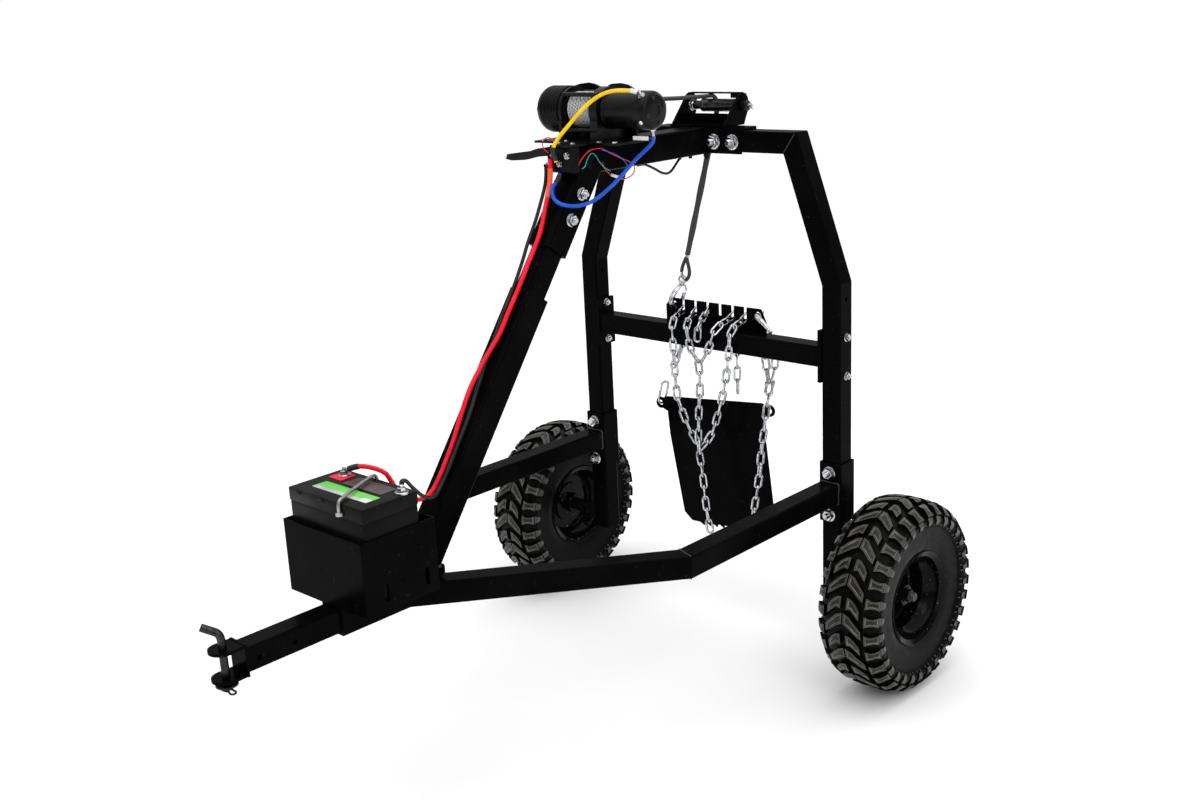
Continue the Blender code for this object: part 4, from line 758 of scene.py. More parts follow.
def build_rim(side, label):
    body = "wheel_" + label
    centre = at(side * WHEEL_X, 0.0, WHEEL_R)
    out = Vector((side, 0.0, 0.0))
    half = [
        (0.113, 0.0625), (0.1136, 0.0612), (0.1132, 0.0599), (0.1085, 0.0588), (0.1022, 0.0568),
        (0.1006, 0.042), (0.09, 0.033), (0.0845, 0.025), (0.084, 0.0),
    ]
    profile = half + [(r, -d) for r, d in reversed(half[:-1])]
    profile += [(0.1115, -0.063), (0.1, -0.0575), (0.0975, -0.042), (0.087, -0.031), (0.0812, -0.024)]
    face = [(0.0806, -0.008), (0.077, -0.0042), (0.04, -0.0038), (0.0302, -0.004), (0.0302, 0.0)]
    face += [(0.04, 0.0004), (0.064, 0.0008), (0.07, 0.003), (0.0755, 0.0008), (0.079, 0.003)]
    face += [(0.0808, 0.009)]
    profile += [(r, DISC_X + d) for r, d in face]
    profile += [(0.0812, 0.024), (0.087, 0.031), (0.0975, 0.042), (0.1, 0.0575), (0.1115, 0.063)]
    bm = bmesh.new()
    add_ring(bm, profile, centre, out, 112)
    piece("rim_%s_dish" % label, bm, "rim", body, ["rim_" + label])

    bm = bmesh.new()
    hub = [(0.013, -0.045), (0.0265, -0.045), (0.0275, -0.044), (0.028, -0.025), (0.056, -0.0235)]
    hub += [(0.056, -0.0168), (0.0297, -0.0166), (0.0297, 0.008), (0.0285, 0.0115), (0.0285, 0.018)]
    hub += [(0.0262, 0.023), (0.024, 0.0285), (0.013, 0.0292)]
    add_ring(bm, hub, centre, out, 64)
    piece("hub_%s_cap" % label, bm, "rim", body, ["hub_" + label])

    bm = bmesh.new()
    for i in range(4):
        a = math.radians(45 + 90 * i)
        foot = centre + out * (DISC_X + 0.0002) + spoke(a, 0.05)
        add_turned(bm, [(0.011, 0.0), (0.0108, 0.0018)], foot, out, 24)
        nut = [(0.0098, 0.001), (0.0098, 0.008), (0.0085, 0.0098), (0.0052, 0.0099), (0.0052, 0.0135)]
        add_turned(bm, nut, foot, out, 6)
    valve = centre + out * (DISC_X + 0.0005) + Vector((0.0, -0.07, 0.0))
    add_turned(bm, [(0.005, 0.0), (0.0048, 0.006), (0.0034, 0.008), (0.0034, 0.024), (0.004, 0.0245),
                    (0.004, 0.032), (0.003, 0.0335)], valve, out, 16)
    piece("wheel_%s_nuts" % label, bm, "steel", body)

    bm = bmesh.new()
    add_turned(bm, [(0.0185, 0.0), (0.0185, 0.0022)], centre + out * 0.0294, out, 32)
    nut = [(0.015, 0.0), (0.0158, 0.001), (0.0158, 0.009), (0.0142, 0.0105)]
    add_turned(bm, nut, centre + out * 0.0312, out, 6)
    rings = [(0.0118, 0.0)]
    for k in range(4):
        rings += [(0.0124, 0.0008 + 0.0022 * k), (0.0114, 0.0019 + 0.0022 * k)]
    add_turned(bm, rings + [(0.0098, 0.0105)], centre + out * 0.0412, out, 28)
    piece("axle_nut_" + label, bm, "steel", "cart")
    paint_node("spindle_" + label, "steel")


# ---------------------------------------------------------------- bolts and welds
def add_bolt(bm, base, direction, size=1.0, spin=0.0):
    """Washer, hexagon nut and threaded end over a CAD bolt head."""
    washer = [(0.0118, 0.0), (0.0125, 0.0004 / size), (0.0125, 0.0022), (0.0118, 0.0027)]
    nut = [(0.0099, 0.0024), (0.0106, 0.0032), (0.0106, 0.0094), (0.0096, 0.0106)]
    thread = [(0.005, 0.01)]
    for k in range(4):
        thread += [(0.0053, 0.0109 + 0.0013 * k), (0.005, 0.0115 + 0.0013 * k)]
    thread += [(0.0042, 0.0168)]
    for profile, sides, phase in ((washer, 28, 0.0), (nut, 6, spin), (thread, 18, 0.0)):
        add_turned(bm, [(r * size, d * size) for r, d in profile], base, direction, sides, phase)


def mast_point(height):
    """A point on the middle line of the leaning mast."""
    foot, head = Vector((0.0, -0.9855, 0.49205)), Vector((0.0, -0.418, BOOM_Z))
    return foot.lerp(head, (height - foot.z) / (head.z - foot.z))


def build_bolts():
    rng = random.Random(5)
    bm = bmesh.new()

    def bolt(x, y, z, direction, size=1.0):
        add_bolt(bm, at(x, y, z), direction, size, rng.uniform(0.0, 1.0))

    sleeve = (TUBE + 2 * (0.0003 + 0.0047)) / 2
    for side in (-1, 1):
        for z in (0.3989, 0.5044):
            for way in (-1, 1):
                bolt(side * ARM_X, way * sleeve, z, (0, way, 0), 1.3)
        for z in (0.7398, 0.8324):
            bolt(side * 0.4064, 0.0, z, (side, 0, 0), 0.8)
        for z in (0.7368, 0.8354):
            bolt(side * 0.347, 0.0, z, (-side, 0, 0), 0.8)
    for x in (-0.113, -0.058, 0.058, 0.113):
        for way in (-1, 1):
            bolt(x, way * 0.0317, 1.274, (0, way, 0), 1.45)
    for z in (1.1515, 1.2035):
        spot = mast_point(z)
        for way in (-1, 1):
            bolt(way * BIG_TUBE / 2, spot.y, spot.z, (way, 0, 0), 1.15)
    bolt(BIG_TUBE / 2, -1.1615, 0.47, (1, 0, 0), 0.8)
    piece("frame_bolts", bm, "zinc")


def add_bead(bm, start, end, out, radius=0.0034):
    """A row of overlapping weld ripples along a seam."""
    start, end = Vector(start), Vector(end)
    count = max(3, round((end - start).length / 0.0042))
    rng = random.Random(count)
    along = (end - start).normalized()
    rings = []
    for i in range(count * 3 + 1):
        point = start.lerp(end, i / (count * 3))
        swell = radius * (0.8 + 0.24 * abs(math.sin(math.pi * i / 3.0)) + rng.uniform(-0.05, 0.05))
        if i in (0, count * 3):
            swell *= 0.5
        turn = frame_along(along, out)
        rings.append([point + turn.to_3x3() @ Vector((x, y, 0.0)) for x, y in circle(swell, 10)])
    bridge(bm, rings)


def build_welds():
    bm = bmesh.new()
    tube, big = TUBE / 2, BIG_TUBE / 2
    for side in (-1, 1):
        # arm bends, on the top and the underside
        slope = Vector((-side * ARM_X, -0.4666, 0.0)).normalized()
        mitre = (Vector((0.0, -1.0, 0.0)) + slope).normalized()
        across = Vector((-mitre.y, mitre.x, 0.0))
        reach = across * (tube / abs(across.x) - 0.002)
        left, right = side * ARM_X - tube, side * ARM_X + tube
        for z in (ARM_Z + tube, ARM_Z - tube):
            bend = at(side * ARM_X, -0.575, z)
            add_bead(bm, bend - reach, bend + reach, Z_AXIS, 0.0018)
            # arm to sleeve
            add_bead(bm, at(left, -0.0316, z), at(right, -0.0316, z), Z_AXIS, 0.003)
        for x in (left, right):
            add_bead(bm, at(x, -0.0316, ARM_Z - tube), at(x, -0.0316, ARM_Z + tube), X_AXIS, 0.003)
        # arch corners
        corner = Vector((-side * 0.112, 0.0, 0.3181)).normalized()
        seam = (corner + Vector((-side, 0.0, 0.0))).normalized()
        wide = Vector((-seam.z, 0.0, seam.x))
        reach = wide * (tube / abs(wide.z) - 0.003) * 0.9
        for y in (-tube, tube):
            middle = at(side * ARCH_X, y, ARCH_Z)
            add_bead(bm, middle - reach, middle + reach, Y_AXIS, 0.0016)
        # arm to the receiver, then the tray and the mast's foot along its top edge
        add_bead(bm, at(side * big, -1.022, 0.43), at(side * big, -1.022, 0.4812), X_AXIS, 0.0026)
        for front, back, radius in ((-1.2, -1.034, 0.0024), (-1.02, -0.948, 0.0032)):
            start, end = at(side * big, front, RECEIVER_TOP), at(side * big, back, RECEIVER_TOP)
            add_bead(bm, start, end, X_AXIS, radius)
    add_bead(bm, at(-big + 0.002, -1.0245, 0.4925), at(big - 0.002, -1.0245, 0.4925), Y_AXIS, 0.0032)
    # hitch ears
    for z in (0.4857, 0.4343):
        add_bead(bm, at(-tube + 0.002, -1.4175, z), at(tube - 0.002, -1.4175, z), Y_AXIS, 0.002)
    piece("weld_beads", bm, "weld", sharp=60.0)


# ---------------------------------------------------------------- chains and hooks
def add_link(bm, centre, along, flat, length=0.0216, width=0.0106, wire=WIRE_R):
    """One oval link, `along` its length and lying in the plane across `flat`."""
    turn = frame_along(along, flat).to_3x3()
    bend = width - wire
    straight = length - width
    path = []
    for i in range(9):
        a = math.pi * i / 8
        path.append((bend * math.cos(a), straight + bend * math.sin(a)))
    for i in range(9):
        a = math.pi + math.pi * i / 8
        path.append((bend * math.cos(a), -straight + bend * math.sin(a)))
    rings = []
    for i, (u, v) in enumerate(path):
        before, after = path[i - 1], path[(i + 1) % len(path)]
        tangent = Vector((0.0, after[0] - before[0], after[1] - before[1])).normalized()
        outward = Vector((0.0, tangent.z, -tangent.y))
        ring = []
        for x, y in circle(wire, 10):
            ring.append(centre + turn @ (Vector((0.0, u, v)) + outward * x + Vector((y, 0.0, 0.0))))
        rings.append(ring)
    bridge(bm, rings, closed_way=True)


def add_chain(bm, points, seed, start_flat=0):
    """Links along a route, each lying across its neighbours and turned a little at random."""
    rng = random.Random(seed)
    route = smooth_route([at(*p) for p in points], LINK_PITCH)
    for i in range(len(route) - 1):
        middle = (route[i] + route[i + 1]) / 2
        along = (route[i + 1] - route[i]).normalized()
        base = Vector((0.73, 0.69, 0.0)) if (i + start_flat) % 2 else Vector((0.69, -0.73, 0.0))
        flat = Matrix.Rotation(rng.uniform(-0.28, 0.28), 3, along) @ base
        add_link(bm, middle, along, flat)


def slot_start(slot, x_top, x_front):
    """A chain's way out of a slot, over the cross beam's top and down to its front face."""
    x = SLOTS_X[slot]
    over = BEAM_Z + TUBE / 2 + 0.008
    return [
        (x, 0.04, 0.842), (0.7 * x + 0.3 * x_top, 0.008, over + 0.012),
        (x_top, -0.017, over + 0.0075), (0.5 * (x_top + x_front), -0.034, over - 0.001),
        (x_front, BEAM_FRONT - 0.001, 0.795),
    ]


def build_chains():
    routes = {
        "chain_left": (slot_start(0, -0.096, -0.087) + [
            (-0.086, BEAM_FRONT - 0.001, 0.757), (-0.085, -0.037, 0.72), (-0.081, -0.038, 0.668),
            (-0.076, -0.038, 0.616), (-0.057, -0.038, 0.578), (-0.04, -0.038, 0.542),
            (-0.014, -0.038, 0.512),
        ], 3),
        "chain_centre": (slot_start(1, -0.05, -0.038) + [
            (-0.027, BEAM_FRONT - 0.001, 0.75), (-0.006, -0.037, 0.725), (-0.001, -0.038, 0.69),
            (-0.003, -0.038, 0.64), (-0.008, -0.038, 0.58), (-0.011, -0.038, 0.5), (-0.004, -0.038, 0.46),
            (0.002, -0.038, 0.41), (0.009, -0.038, 0.34), (0.02, -0.038, 0.275),
        ], 4),
        "chain_branch": (slot_start(4, 0.052, 0.042) + [
            (0.028, BEAM_FRONT - 0.001, 0.762), (0.006, -0.037, 0.728),
        ], 5),
        "chain_right": (slot_start(5, 0.095, 0.095) + [
            (0.088, BEAM_FRONT - 0.001, 0.735), (0.076, -0.038, 0.672), (0.054, -0.038, 0.597),
            (0.03, -0.038, 0.538), (-0.004, -0.038, 0.498),
        ], 6),
        "chain_sling": ([
            (0.15, 0.044, 0.8), (0.14, 0.047, 0.737), (0.15, 0.044, 0.69), (0.164, 0.03, 0.655),
            (0.174, 0.003, 0.625), (0.174, -0.004, 0.585), (0.166, -0.004, 0.54), (0.158, -0.002, 0.5),
            (0.15, 0.0, 0.44), (0.139, 0.0, 0.38), (0.127, 0.0, 0.32),
        ], 7),
    }
    for name, (points, seed) in routes.items():
        bm = bmesh.new()
        add_chain(bm, points, seed)
        piece(name + "_links", bm, "bright", nodes=[name])

    bm = bmesh.new()
    add_chain(bm, [(SLOTS_X[2], 0.036, 0.85), (SLOTS_X[2] + 0.006, 0.008, 0.834), (-0.008, -0.022, 0.822),
                   (-0.006, -0.0355, 0.805), (-0.006, -0.0365, 0.782)], 11, 1)
    add_chain(bm, [(-0.11, 0.046, 0.828), (-0.112, 0.047, 0.79), (-0.122, 0.042, 0.735),
                   (-0.146, 0.03, 0.678)], 12)
    add_chain(bm, [(0.168, 0.044, 0.78), (0.172, 0.046, 0.742), (0.17, 0.04, 0.7),
                   (0.164, 0.022, 0.655)], 13, 1)
    piece("chain_short_ends", bm, "bright")

    bm = bmesh.new()
    add_chain(bm, [(SLOTS_X[4], 0.043, 0.832), (SLOTS_X[4], 0.043, 0.73), (SLOTS_X[4], 0.043, 0.636)], 8)
    piece("chain_tail_links", bm, "bright", "tail", ["chain_tail"])


def build_hooks():
    # heavy hook over the plate's corner
    bm = bmesh.new()
    route = smooth_route([at(*p) for p in (
        (0.136, 0.045, 0.856), (0.136, 0.04, 0.85), (0.1362, 0.0287, 0.8482), (0.14, 0.015, 0.849),
        (0.155, 0.007, 0.843), (0.172, 0.003, 0.833), (0.188, -0.001, 0.823),
        (0.1975, -0.0035, 0.8178))], 0.003)
    last = len(route) - 1
    radii = [0.0046 + 0.0026 * math.sin(math.pi * min(1.0, 1.15 * i / last)) for i in range(last + 1)]
    radii[-1] = 0.003
    add_tube(bm, route, radii, 20)
    piece("lift_hook_bent", bm, "bright", nodes=["lift_hook"])

    # rope hook, with the bright ring that hangs it from the thimble
    bm = bmesh.new()
    route = smooth_route([at(*p) for p in (
        (-0.1185, 0.046, 0.901), (-0.124, 0.04, 0.893), (-0.129, 0.028, 0.88), (-0.132, 0.018, 0.865),
        (-0.1325, 0.017, 0.853), (-0.131, 0.023, 0.847), (-0.127, 0.033, 0.847), (-0.121, 0.041, 0.853),
        (-0.116, 0.045, 0.865), (-0.113, 0.047, 0.878))], 0.003)
    last = len(route) - 1
    radii = [0.0046 + 0.0024 * math.sin(math.pi * i / last) for i in range(last + 1)]
    radii[-1] = 0.0024
    add_tube(bm, route, radii, 20)
    add_turned(bm, [(0.0055, 0.0), (0.0072, 0.002), (0.0072, 0.008), (0.0055, 0.01)], route[2],
               (route[0] - route[2]), 24)
    add_ring(bm, [(0.009 + 0.0027 * x, 0.0027 * y) for x, y in circle(1.0, 10)], at(-0.122, 0.0515, 0.91),
             (0.62, -0.76, 0.2), 28)
    piece("rope_hook_bowl", bm, "bright", nodes=["rope_hook"])
    for node in ("rope_hook_latch", "rope_thimble"):
        paint_node(node, "bright")

    # the rope's end, spliced back round the thimble
    bm = bmesh.new()
    for points in (
        ((-0.1274, 0.055, 0.9285), (-0.1232, 0.0555, 0.944), (-0.1165, 0.0565, 0.958),
         (-0.1115, 0.0575, 0.968)),
        ((-0.1115, 0.0575, 0.968), (-0.1085, 0.0578, 0.954), (-0.105, 0.058, 0.94),
         (-0.1033, 0.0575, 0.927), (-0.1065, 0.0565, 0.915), (-0.114, 0.055, 0.9065)),
    ):
        route = smooth_route([at(*p) for p in points], 0.003)
        radii = [0.0047] * len(route)
        radii[0] = radii[-1] = 0.0042
        add_tube(bm, route, radii, 16)
    piece("rope_eye", bm, "sleeve")

    bm = bmesh.new()
    along = Vector((0.02, -0.003, 0.059)).normalized()
    side = Vector((0.5, 0.86, 0.0))
    side = (side - along * side.dot(along)).normalized()
    add_link(bm, at(-0.1885, 0.027, 0.574) + along * 0.033, along, along.cross(side), 0.036, 0.0125, 0.003)
    piece("skid_link_oval", bm, "bright", nodes=["skid_link"])


# ---------------------------------------------------------------- winch and fairlead
WINCH_AXIS = at(0.0, WINCH_Y, WINCH_Z)
GEAR_END = WINCH_AXIS + X_AXIS * -0.129
MOTOR_START = WINCH_AXIS + X_AXIS * 0.0543
CAP_SEAM = 0.09                       # from the motor's start to its end cap
WINCH_BASE_Z = BOOM_Z + BIG_TUBE / 2 + 0.0003


def build_gear_end():
    bm = bmesh.new()
    profile = [(0.0415, 0.0), (0.0475, 0.0015), (0.0503, 0.006), (0.0512, 0.0105)]
    for k in range(12):
        x = 0.0115 + 0.0045 * k
        profile += [(0.0518, x + 0.0004), (0.0518, x + 0.0026), (0.0502, x + 0.0031), (0.0502, x + 0.0042)]
    profile += [(0.0515, 0.0667)]
    add_turned(bm, profile, GEAR_END, X_AXIS, 96)
    for k in range(6):
        foot = GEAR_END + spoke(math.radians(30 + 60 * k), 0.035, 0.0004)
        add_turned(bm, [(0.0042, 0.0), (0.0042, 0.0035), (0.0035, 0.0042)], foot, -X_AXIS, 12)
    piece("winch_gearbox_ribbed", bm, "winch", nodes=["winch_gearbox"])

    bm = bmesh.new()
    knob = [(0.0185, 0.0), (0.0208, 0.001), (0.0212, 0.003), (0.0212, 0.0135), (0.0125, 0.0158)]
    knob += [(0.012, 0.0187)]
    add_turned(bm, knob, GEAR_END - X_AXIS * (0.0003 + 0.0187), X_AXIS, 48)
    low, high = Vector((-0.0278, -0.0203, -0.0043)), Vector((-0.014, 0.0203, 0.0043))
    add_box(bm, GEAR_END + low, GEAR_END + high, 0.0012)
    piece("winch_knob_grip", bm, "winch", "knob", ["winch_clutch_knob"])


def build_motor():
    bm = bmesh.new()
    motor = [(0.0412, 0.0), (0.0418, 0.0008), (0.0418, 0.006), (0.0402, 0.0072)]
    for groove in (0.012, CAP_SEAM - 0.012):
        motor += [(0.0401, groove), (0.0396, groove + 0.0004)]
        motor += [(0.0396, groove + 0.002), (0.0401, groove + 0.0024)]
    motor += [(0.0401, CAP_SEAM)]
    end_cap = [(0.0415, 0.0004), (0.0415, 0.026), (0.0406, 0.03), (0.038, 0.0345), (0.034, 0.0372)]
    end_cap += [(0.031, 0.0382), (0.012, 0.0386), (0.0116, 0.0372), (0.004, 0.037)]
    motor += [(r, CAP_SEAM + d) for r, d in end_cap]
    add_turned(bm, motor, MOTOR_START, X_AXIS, 96)
    piece("winch_motor_can", bm, "winch", nodes=["winch_motor"])

    # terminals on top and underneath, and a domed screw in front
    bm = bmesh.new()
    for x, angle in ((0.021, 128), (0.022, 277)):
        out = spoke(math.radians(angle))
        foot = MOTOR_START + X_AXIS * (CAP_SEAM + x) + out * 0.04
        add_turned(bm, [(0.0078, 0.0), (0.0078, 0.0014)], foot, out, 24)
        add_turned(bm, [(0.007, 0.001), (0.007, 0.0052), (0.006, 0.0058)], foot, out, 6, 0.3)
        add_turned(bm, [(0.0036, 0.005), (0.0036, 0.015), (0.003, 0.0156)], foot, out, 16)
    out = spoke(math.radians(214))
    dome = [(0.0052, 0.0), (0.005, 0.002), (0.0038, 0.0038), (0.0018, 0.0048)]
    add_turned(bm, dome, MOTOR_START + X_AXIS * (CAP_SEAM + 0.0235) + out * 0.0408, out, 20)
    piece("winch_studs", bm, "bright")

    bm = bmesh.new()
    for k in range(4):
        foot = MOTOR_START + spoke(math.radians(20 + 90 * k), 0.0285, CAP_SEAM + 0.0366)
        add_turned(bm, [(0.0046, 0.0), (0.0046, 0.0034), (0.0036, 0.0042)], foot, X_AXIS, 16)
    piece("motor_cap_bolts", bm, "steel")


def build_winch_fixings():
    """Small bolts on the base, the contactor's nuts, and the blank tag below the motor."""
    bm = bmesh.new()
    for x in (-0.105, -0.035, 0.062, 0.108):
        foot = at(x, WINCH_Y - 0.053, WINCH_BASE_Z + 0.0049)
        add_turned(bm, [(0.0062, 0.0), (0.0062, 0.003), (0.0052, 0.0036)], foot, Z_AXIS, 6, 0.2)
    nut = [(0.008, 0.0), (0.008, 0.0016), (0.0071, 0.0018), (0.0071, 0.0064), (0.0062, 0.0068)]
    for x, z in ((0.0062, 1.272), (-0.011, 1.287), (-0.027, 1.268), (0.03, 1.29)):
        foot = at(x, -0.505, z)
        add_turned(bm, nut, foot, -Y_AXIS, 6, 0.4)
        add_turned(bm, [(0.0038, 0.006), (0.0038, 0.0132), (0.0032, 0.014)], foot, -Y_AXIS, 14)
    for x in (-0.008, 0.032):
        foot = at(x, -0.49, WINCH_BASE_Z + 0.0048)
        add_turned(bm, [(0.0056, 0.0), (0.0056, 0.004), (0.0048, 0.0046)], foot, Z_AXIS, 6, 0.5)
    piece("winch_small_bolts", bm, "bright")

    bm = bmesh.new()
    add_box(bm, at(0.14, WINCH_Y - 0.03, 1.3175), at(0.183, WINCH_Y - 0.0288, 1.326), 0.0004)
    piece("winch_blank_tag", bm, "label_white")


def build_drum_rope():
    """Braided rope on the drum: two layers of separate turns, wound opposite ways."""
    bm = bmesh.new()
    steps = DRUM_TURNS * 40
    for radius, first, run, sides in ((0.0349, -0.044, 0.0672, 12), (0.0285, 0.0232, -0.0672, 8)):
        points = [WINCH_AXIS + spoke(2 * math.pi * i / 40, radius, first + run * i / steps)
                  for i in range(int(steps))]
        add_tube(bm, points, 0.0043, sides)
    piece("winch_rope_turns", bm, "rope", "drum", ["winch_rope_wraps"], 70.0)


def build_winch():
    for node in ("winch_frame", "control_lever"):
        paint_node(node, "winch")
    paint_node("solenoid_box", "plastic")
    paint_node("winch_drum", "steel")
    build_gear_end()
    build_motor()
    build_winch_fixings()
    build_drum_rope()


def build_fairlead():
    paint_node("fairlead_bracket", "paint")
    paint_node("arch_saddle", "paint")
    axis = at(0.0, ROLLER_Y, ROLLER_Z)
    bm = bmesh.new()
    profile = [(0.0071, -0.0733), (0.0104, -0.0733), (0.0104, -0.038), (0.0142, -0.038), (0.016, -0.0366)]
    profile += [(0.016, -0.032), (0.0155, -0.0312), (0.0155, 0.0596), (0.016, 0.0604), (0.016, 0.065)]
    profile += [(0.0142, 0.0666), (0.0104, 0.0666), (0.0104, 0.0773), (0.0071, 0.0773)]
    add_ring(bm, profile, axis, X_AXIS, 56)
    piece("fairlead_roller_turned", bm, "steel", "roller", ["fairlead_roller"])

    bm = bmesh.new()
    left = axis + X_AXIS * -0.0895
    head = [(0.0118, 0.0), (0.0128, 0.0012), (0.0128, 0.0078), (0.0118, 0.0092)]
    add_turned(bm, head, left, X_AXIS, 6, 0.2)
    add_turned(bm, [(0.0064, 0.008), (0.0064, 0.1948)], left, X_AXIS, 24)
    add_turned(bm, [(0.0052, 0.194), (0.0048, 0.1985)], left, X_AXIS, 24)
    inner = axis + X_AXIS * -0.0732
    add_turned(bm, [(0.0138, 0.0), (0.0138, 0.0016)], inner, X_AXIS, 32)
    nut = [(0.0122, 0.0014), (0.0128, 0.0024), (0.0128, 0.0096), (0.0116, 0.011)]
    add_turned(bm, nut, inner, X_AXIS, 6, 0.7)
    piece("fairlead_bolt_set", bm, "bright", nodes=["fairlead_bolt"])

    # dark nut and split pin outside the near cheek
    bm = bmesh.new()
    add_turned(bm, [(0.0142, 0.1748), (0.0142, 0.1768)], left, X_AXIS, 32)
    nut = [(0.0128, 0.1766), (0.0136, 0.1778), (0.0136, 0.1872), (0.0124, 0.1886)]
    add_turned(bm, nut, left, X_AXIS, 6, 0.5)
    add_turned(bm, [(0.0012, -0.015), (0.0012, 0.015)], left + X_AXIS * 0.1918, (0.0, 0.8, -0.6), 10)
    piece("fairlead_nut", bm, "steel")

    bm = bmesh.new()
    add_box(bm, at(0.0545, 0.0385, ROLLER_Z + 0.018), at(0.087, 0.061, ROLLER_Z + 0.0285), 0.0016)
    add_box(bm, at(-0.0735, 0.03, 1.316), at(0.05, 0.0362, 1.3335), 0.002)
    piece("fairlead_guard_end", bm, "paint")

    # short bolt ends under the saddle
    bm = bmesh.new()
    for x in (-0.03, 0.02):
        end = [(0.0078, 0.0), (0.0078, -0.008), (0.005, -0.0082), (0.005, -0.013), (0.0042, -0.0138)]
        add_turned(bm, end, at(x, -0.015, 1.243), Z_AXIS, 6, 0.3)
    piece("saddle_bolt_ends", bm, "winch")


# ---------------------------------------------------------------- battery, tray and hitch
def build_battery():
    low, high = at(-0.117, BATTERY_FRONT, 0.4976), at(0.117, -1.062, BATTERY_TOP)
    bm = bmesh.new()
    add_box(bm, low, Vector((high.x, high.y, high.z - 0.03)), 0.0035)
    add_box(bm, Vector((low.x - 0.001, low.y - 0.001, high.z - 0.0285)),
            Vector((high.x + 0.001, high.y + 0.001, high.z - 0.0005)), 0.0028)
    add_box(bm, Vector((low.x + 0.0012, low.y + 0.0012, high.z - 0.032)),
            Vector((high.x - 0.0012, high.y - 0.0012, high.z - 0.025)))
    rib_low, rib_high = BATTERY_TOP - 0.009, BATTERY_TOP - 0.003
    for x in (-0.085, -0.01, 0.065):
        add_box(bm, at(x - 0.008, BATTERY_FRONT - 0.0025, rib_low),
                at(x + 0.008, BATTERY_FRONT + 0.0005, rib_high), 0.0008)
    for y in (-1.16, -1.098):
        add_box(bm, at(0.1165, y - 0.006, rib_low), at(0.1195, y + 0.006, rib_high), 0.0008)
    piece("battery_case", bm, "plastic", nodes=["battery"])

    bm = bmesh.new()
    for x in (-0.078, 0.103):
        foot = at(x, -1.088, BATTERY_TOP)
        add_turned(bm, [(0.0145, -0.001), (0.0145, 0.0026), (0.0135, 0.0034)], foot, Z_AXIS, 32)
        nut = [(0.0095, 0.003), (0.0095, 0.005), (0.0088, 0.0052), (0.0088, 0.0102), (0.0078, 0.0112)]
        add_turned(bm, nut, foot, Z_AXIS, 6, 0.3)
        add_turned(bm, [(0.0042, 0.01), (0.0042, 0.016), (0.0035, 0.0168)], foot, Z_AXIS, 16)
    piece("battery_terminals", bm, "zinc")


def build_labels():
    """Blank coloured panels on the battery's lid."""
    top = BATTERY_TOP + 0.0001
    sheets = (
        ("battery_label_green", "label_green", (-0.078, -1.156, 0.092, -1.132)),
        ("battery_label_grey", "label_grey", (-0.078, -1.168, 0.092, -1.1562)),
        ("battery_label_white", "label_white", (0.066, -1.168, 0.0915, -1.15)),
        ("battery_patch_red", "red", (-0.097, -1.114, -0.056, -1.076)),
        ("battery_patch_dark", "label_dark", (-0.04, -1.122, 0.08, -1.08)),
    )
    for lift, (name, finish, (x0, y0, x1, y1)) in enumerate(sheets):
        bm = bmesh.new()
        add_box(bm, at(x0, y0, top - 0.0008), at(x1, y1, top + 0.0002 + 0.0001 * lift), 0.00005)
        piece(name, bm, finish)


def build_hold_down():
    bm = bmesh.new()
    hold = [
        (0.052, -1.2015, 0.688), (0.052, -1.2015, 0.697), (0.051, -1.2, 0.708), (0.048, -1.191, 0.715),
        (0.022, -1.137, 0.7165), (-0.004, -1.083, 0.716), (-0.012, -1.064, 0.714), (-0.014, -1.0565, 0.706),
        (-0.014, -1.0555, 0.69), (-0.014, -1.0555, 0.64),
    ]
    route = smooth_route([at(*p) for p in hold], 0.004)
    add_tube(bm, route, 0.0036, 16)
    place = at(0.052, -1.2015, 0.685)
    add_turned(bm, [(0.0075, 0.0), (0.0075, 0.006), (0.0066, 0.0066)], place, Z_AXIS, 6, 0.2)
    piece("battery_hold_bar", bm, "bare", nodes=["battery_hold_down"])


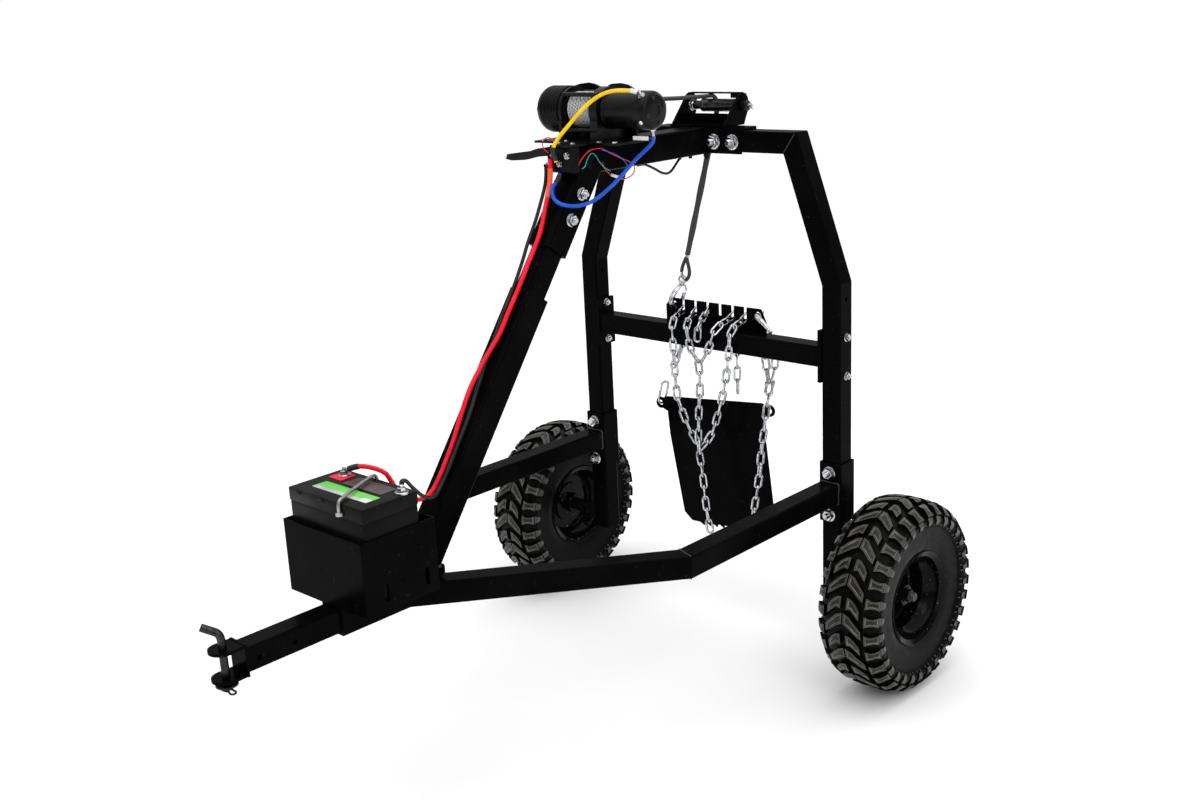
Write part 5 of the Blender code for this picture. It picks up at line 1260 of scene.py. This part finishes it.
def build_hitch():
    bm = bmesh.new()
    foot, knee, tip = at(0.0, PIN_Y, 0.406), at(0.0, PIN_Y, 0.52), at(-0.0225, -1.479, 0.5365)
    route = [foot, foot + Z_AXIS * 0.0015, foot.lerp(knee, 0.5), foot.lerp(knee, 0.86)]
    for t in (0.2, 0.4, 0.6, 0.8):
        a, b = foot.lerp(knee, 0.86), knee.lerp(tip, 0.25)
        route.append((1 - t) ** 2 * a + 2 * t * (1 - t) * knee + t ** 2 * b)
    route += [knee.lerp(tip, 0.25), knee.lerp(tip, 0.6), knee.lerp(tip, 0.97), tip]
    radii = [0.0065] + [0.0079] * (len(route) - 2) + [0.0068]
    add_tube(bm, route, radii, 28)
    add_ring(bm, [(0.008, 0.0), (0.0215, 0.0), (0.0215, 0.003), (0.008, 0.003)],
             at(0.0, PIN_Y, CLIP_Z + 0.0045), Z_AXIS, 48)
    piece("hitch_pin_bent", bm, "steel", "pin", ["hitch_pin"])

    # hairpin: one leg through the pin, the other bowed round its side; points are across and back
    bm = bmesh.new()
    hairpin = [
        (-0.016, 0.0), (0.012, 0.0), (0.024, 0.0), (0.032, -0.002), (0.0345, -0.008), (0.029, -0.012),
        (0.018, -0.0095), (0.008, -0.012), (-0.002, -0.0125), (-0.012, -0.01),
    ]
    route = smooth_route([at(x, PIN_Y + y, CLIP_Z) for x, y in hairpin], 0.002)
    add_tube(bm, route, 0.0021, 12)
    piece("hitch_clip_hairpin", bm, "steel", "clip", ["hitch_clip"])


def build_frame():
    for side in ("near", "far"):
        for node in ("upright_", "arm_", "arm_sleeve_"):
            paint_node(node + side, "paint")
    for node in ("arch_beam", "cross_beam", "mast_lower", "mast_inner", "mast_head", "boom", "chain_plate",
                 "skid_plate", "battery_tray", "tongue_tube", "receiver_tube", "hitch_clevis"):
        paint_node(node, "paint")


FINISHES = make_materials()
add_camera()
add_stage()
build_cords()
for wheel_side, wheel_label in ((1, "near"), (-1, "far")):
    build_tyre(wheel_side, wheel_label)
    build_rim(wheel_side, wheel_label)
build_frame()
build_bolts()
build_welds()
build_chains()
build_hooks()
build_winch()
build_fairlead()
build_battery()
build_labels()
build_hold_down()
build_hitch()
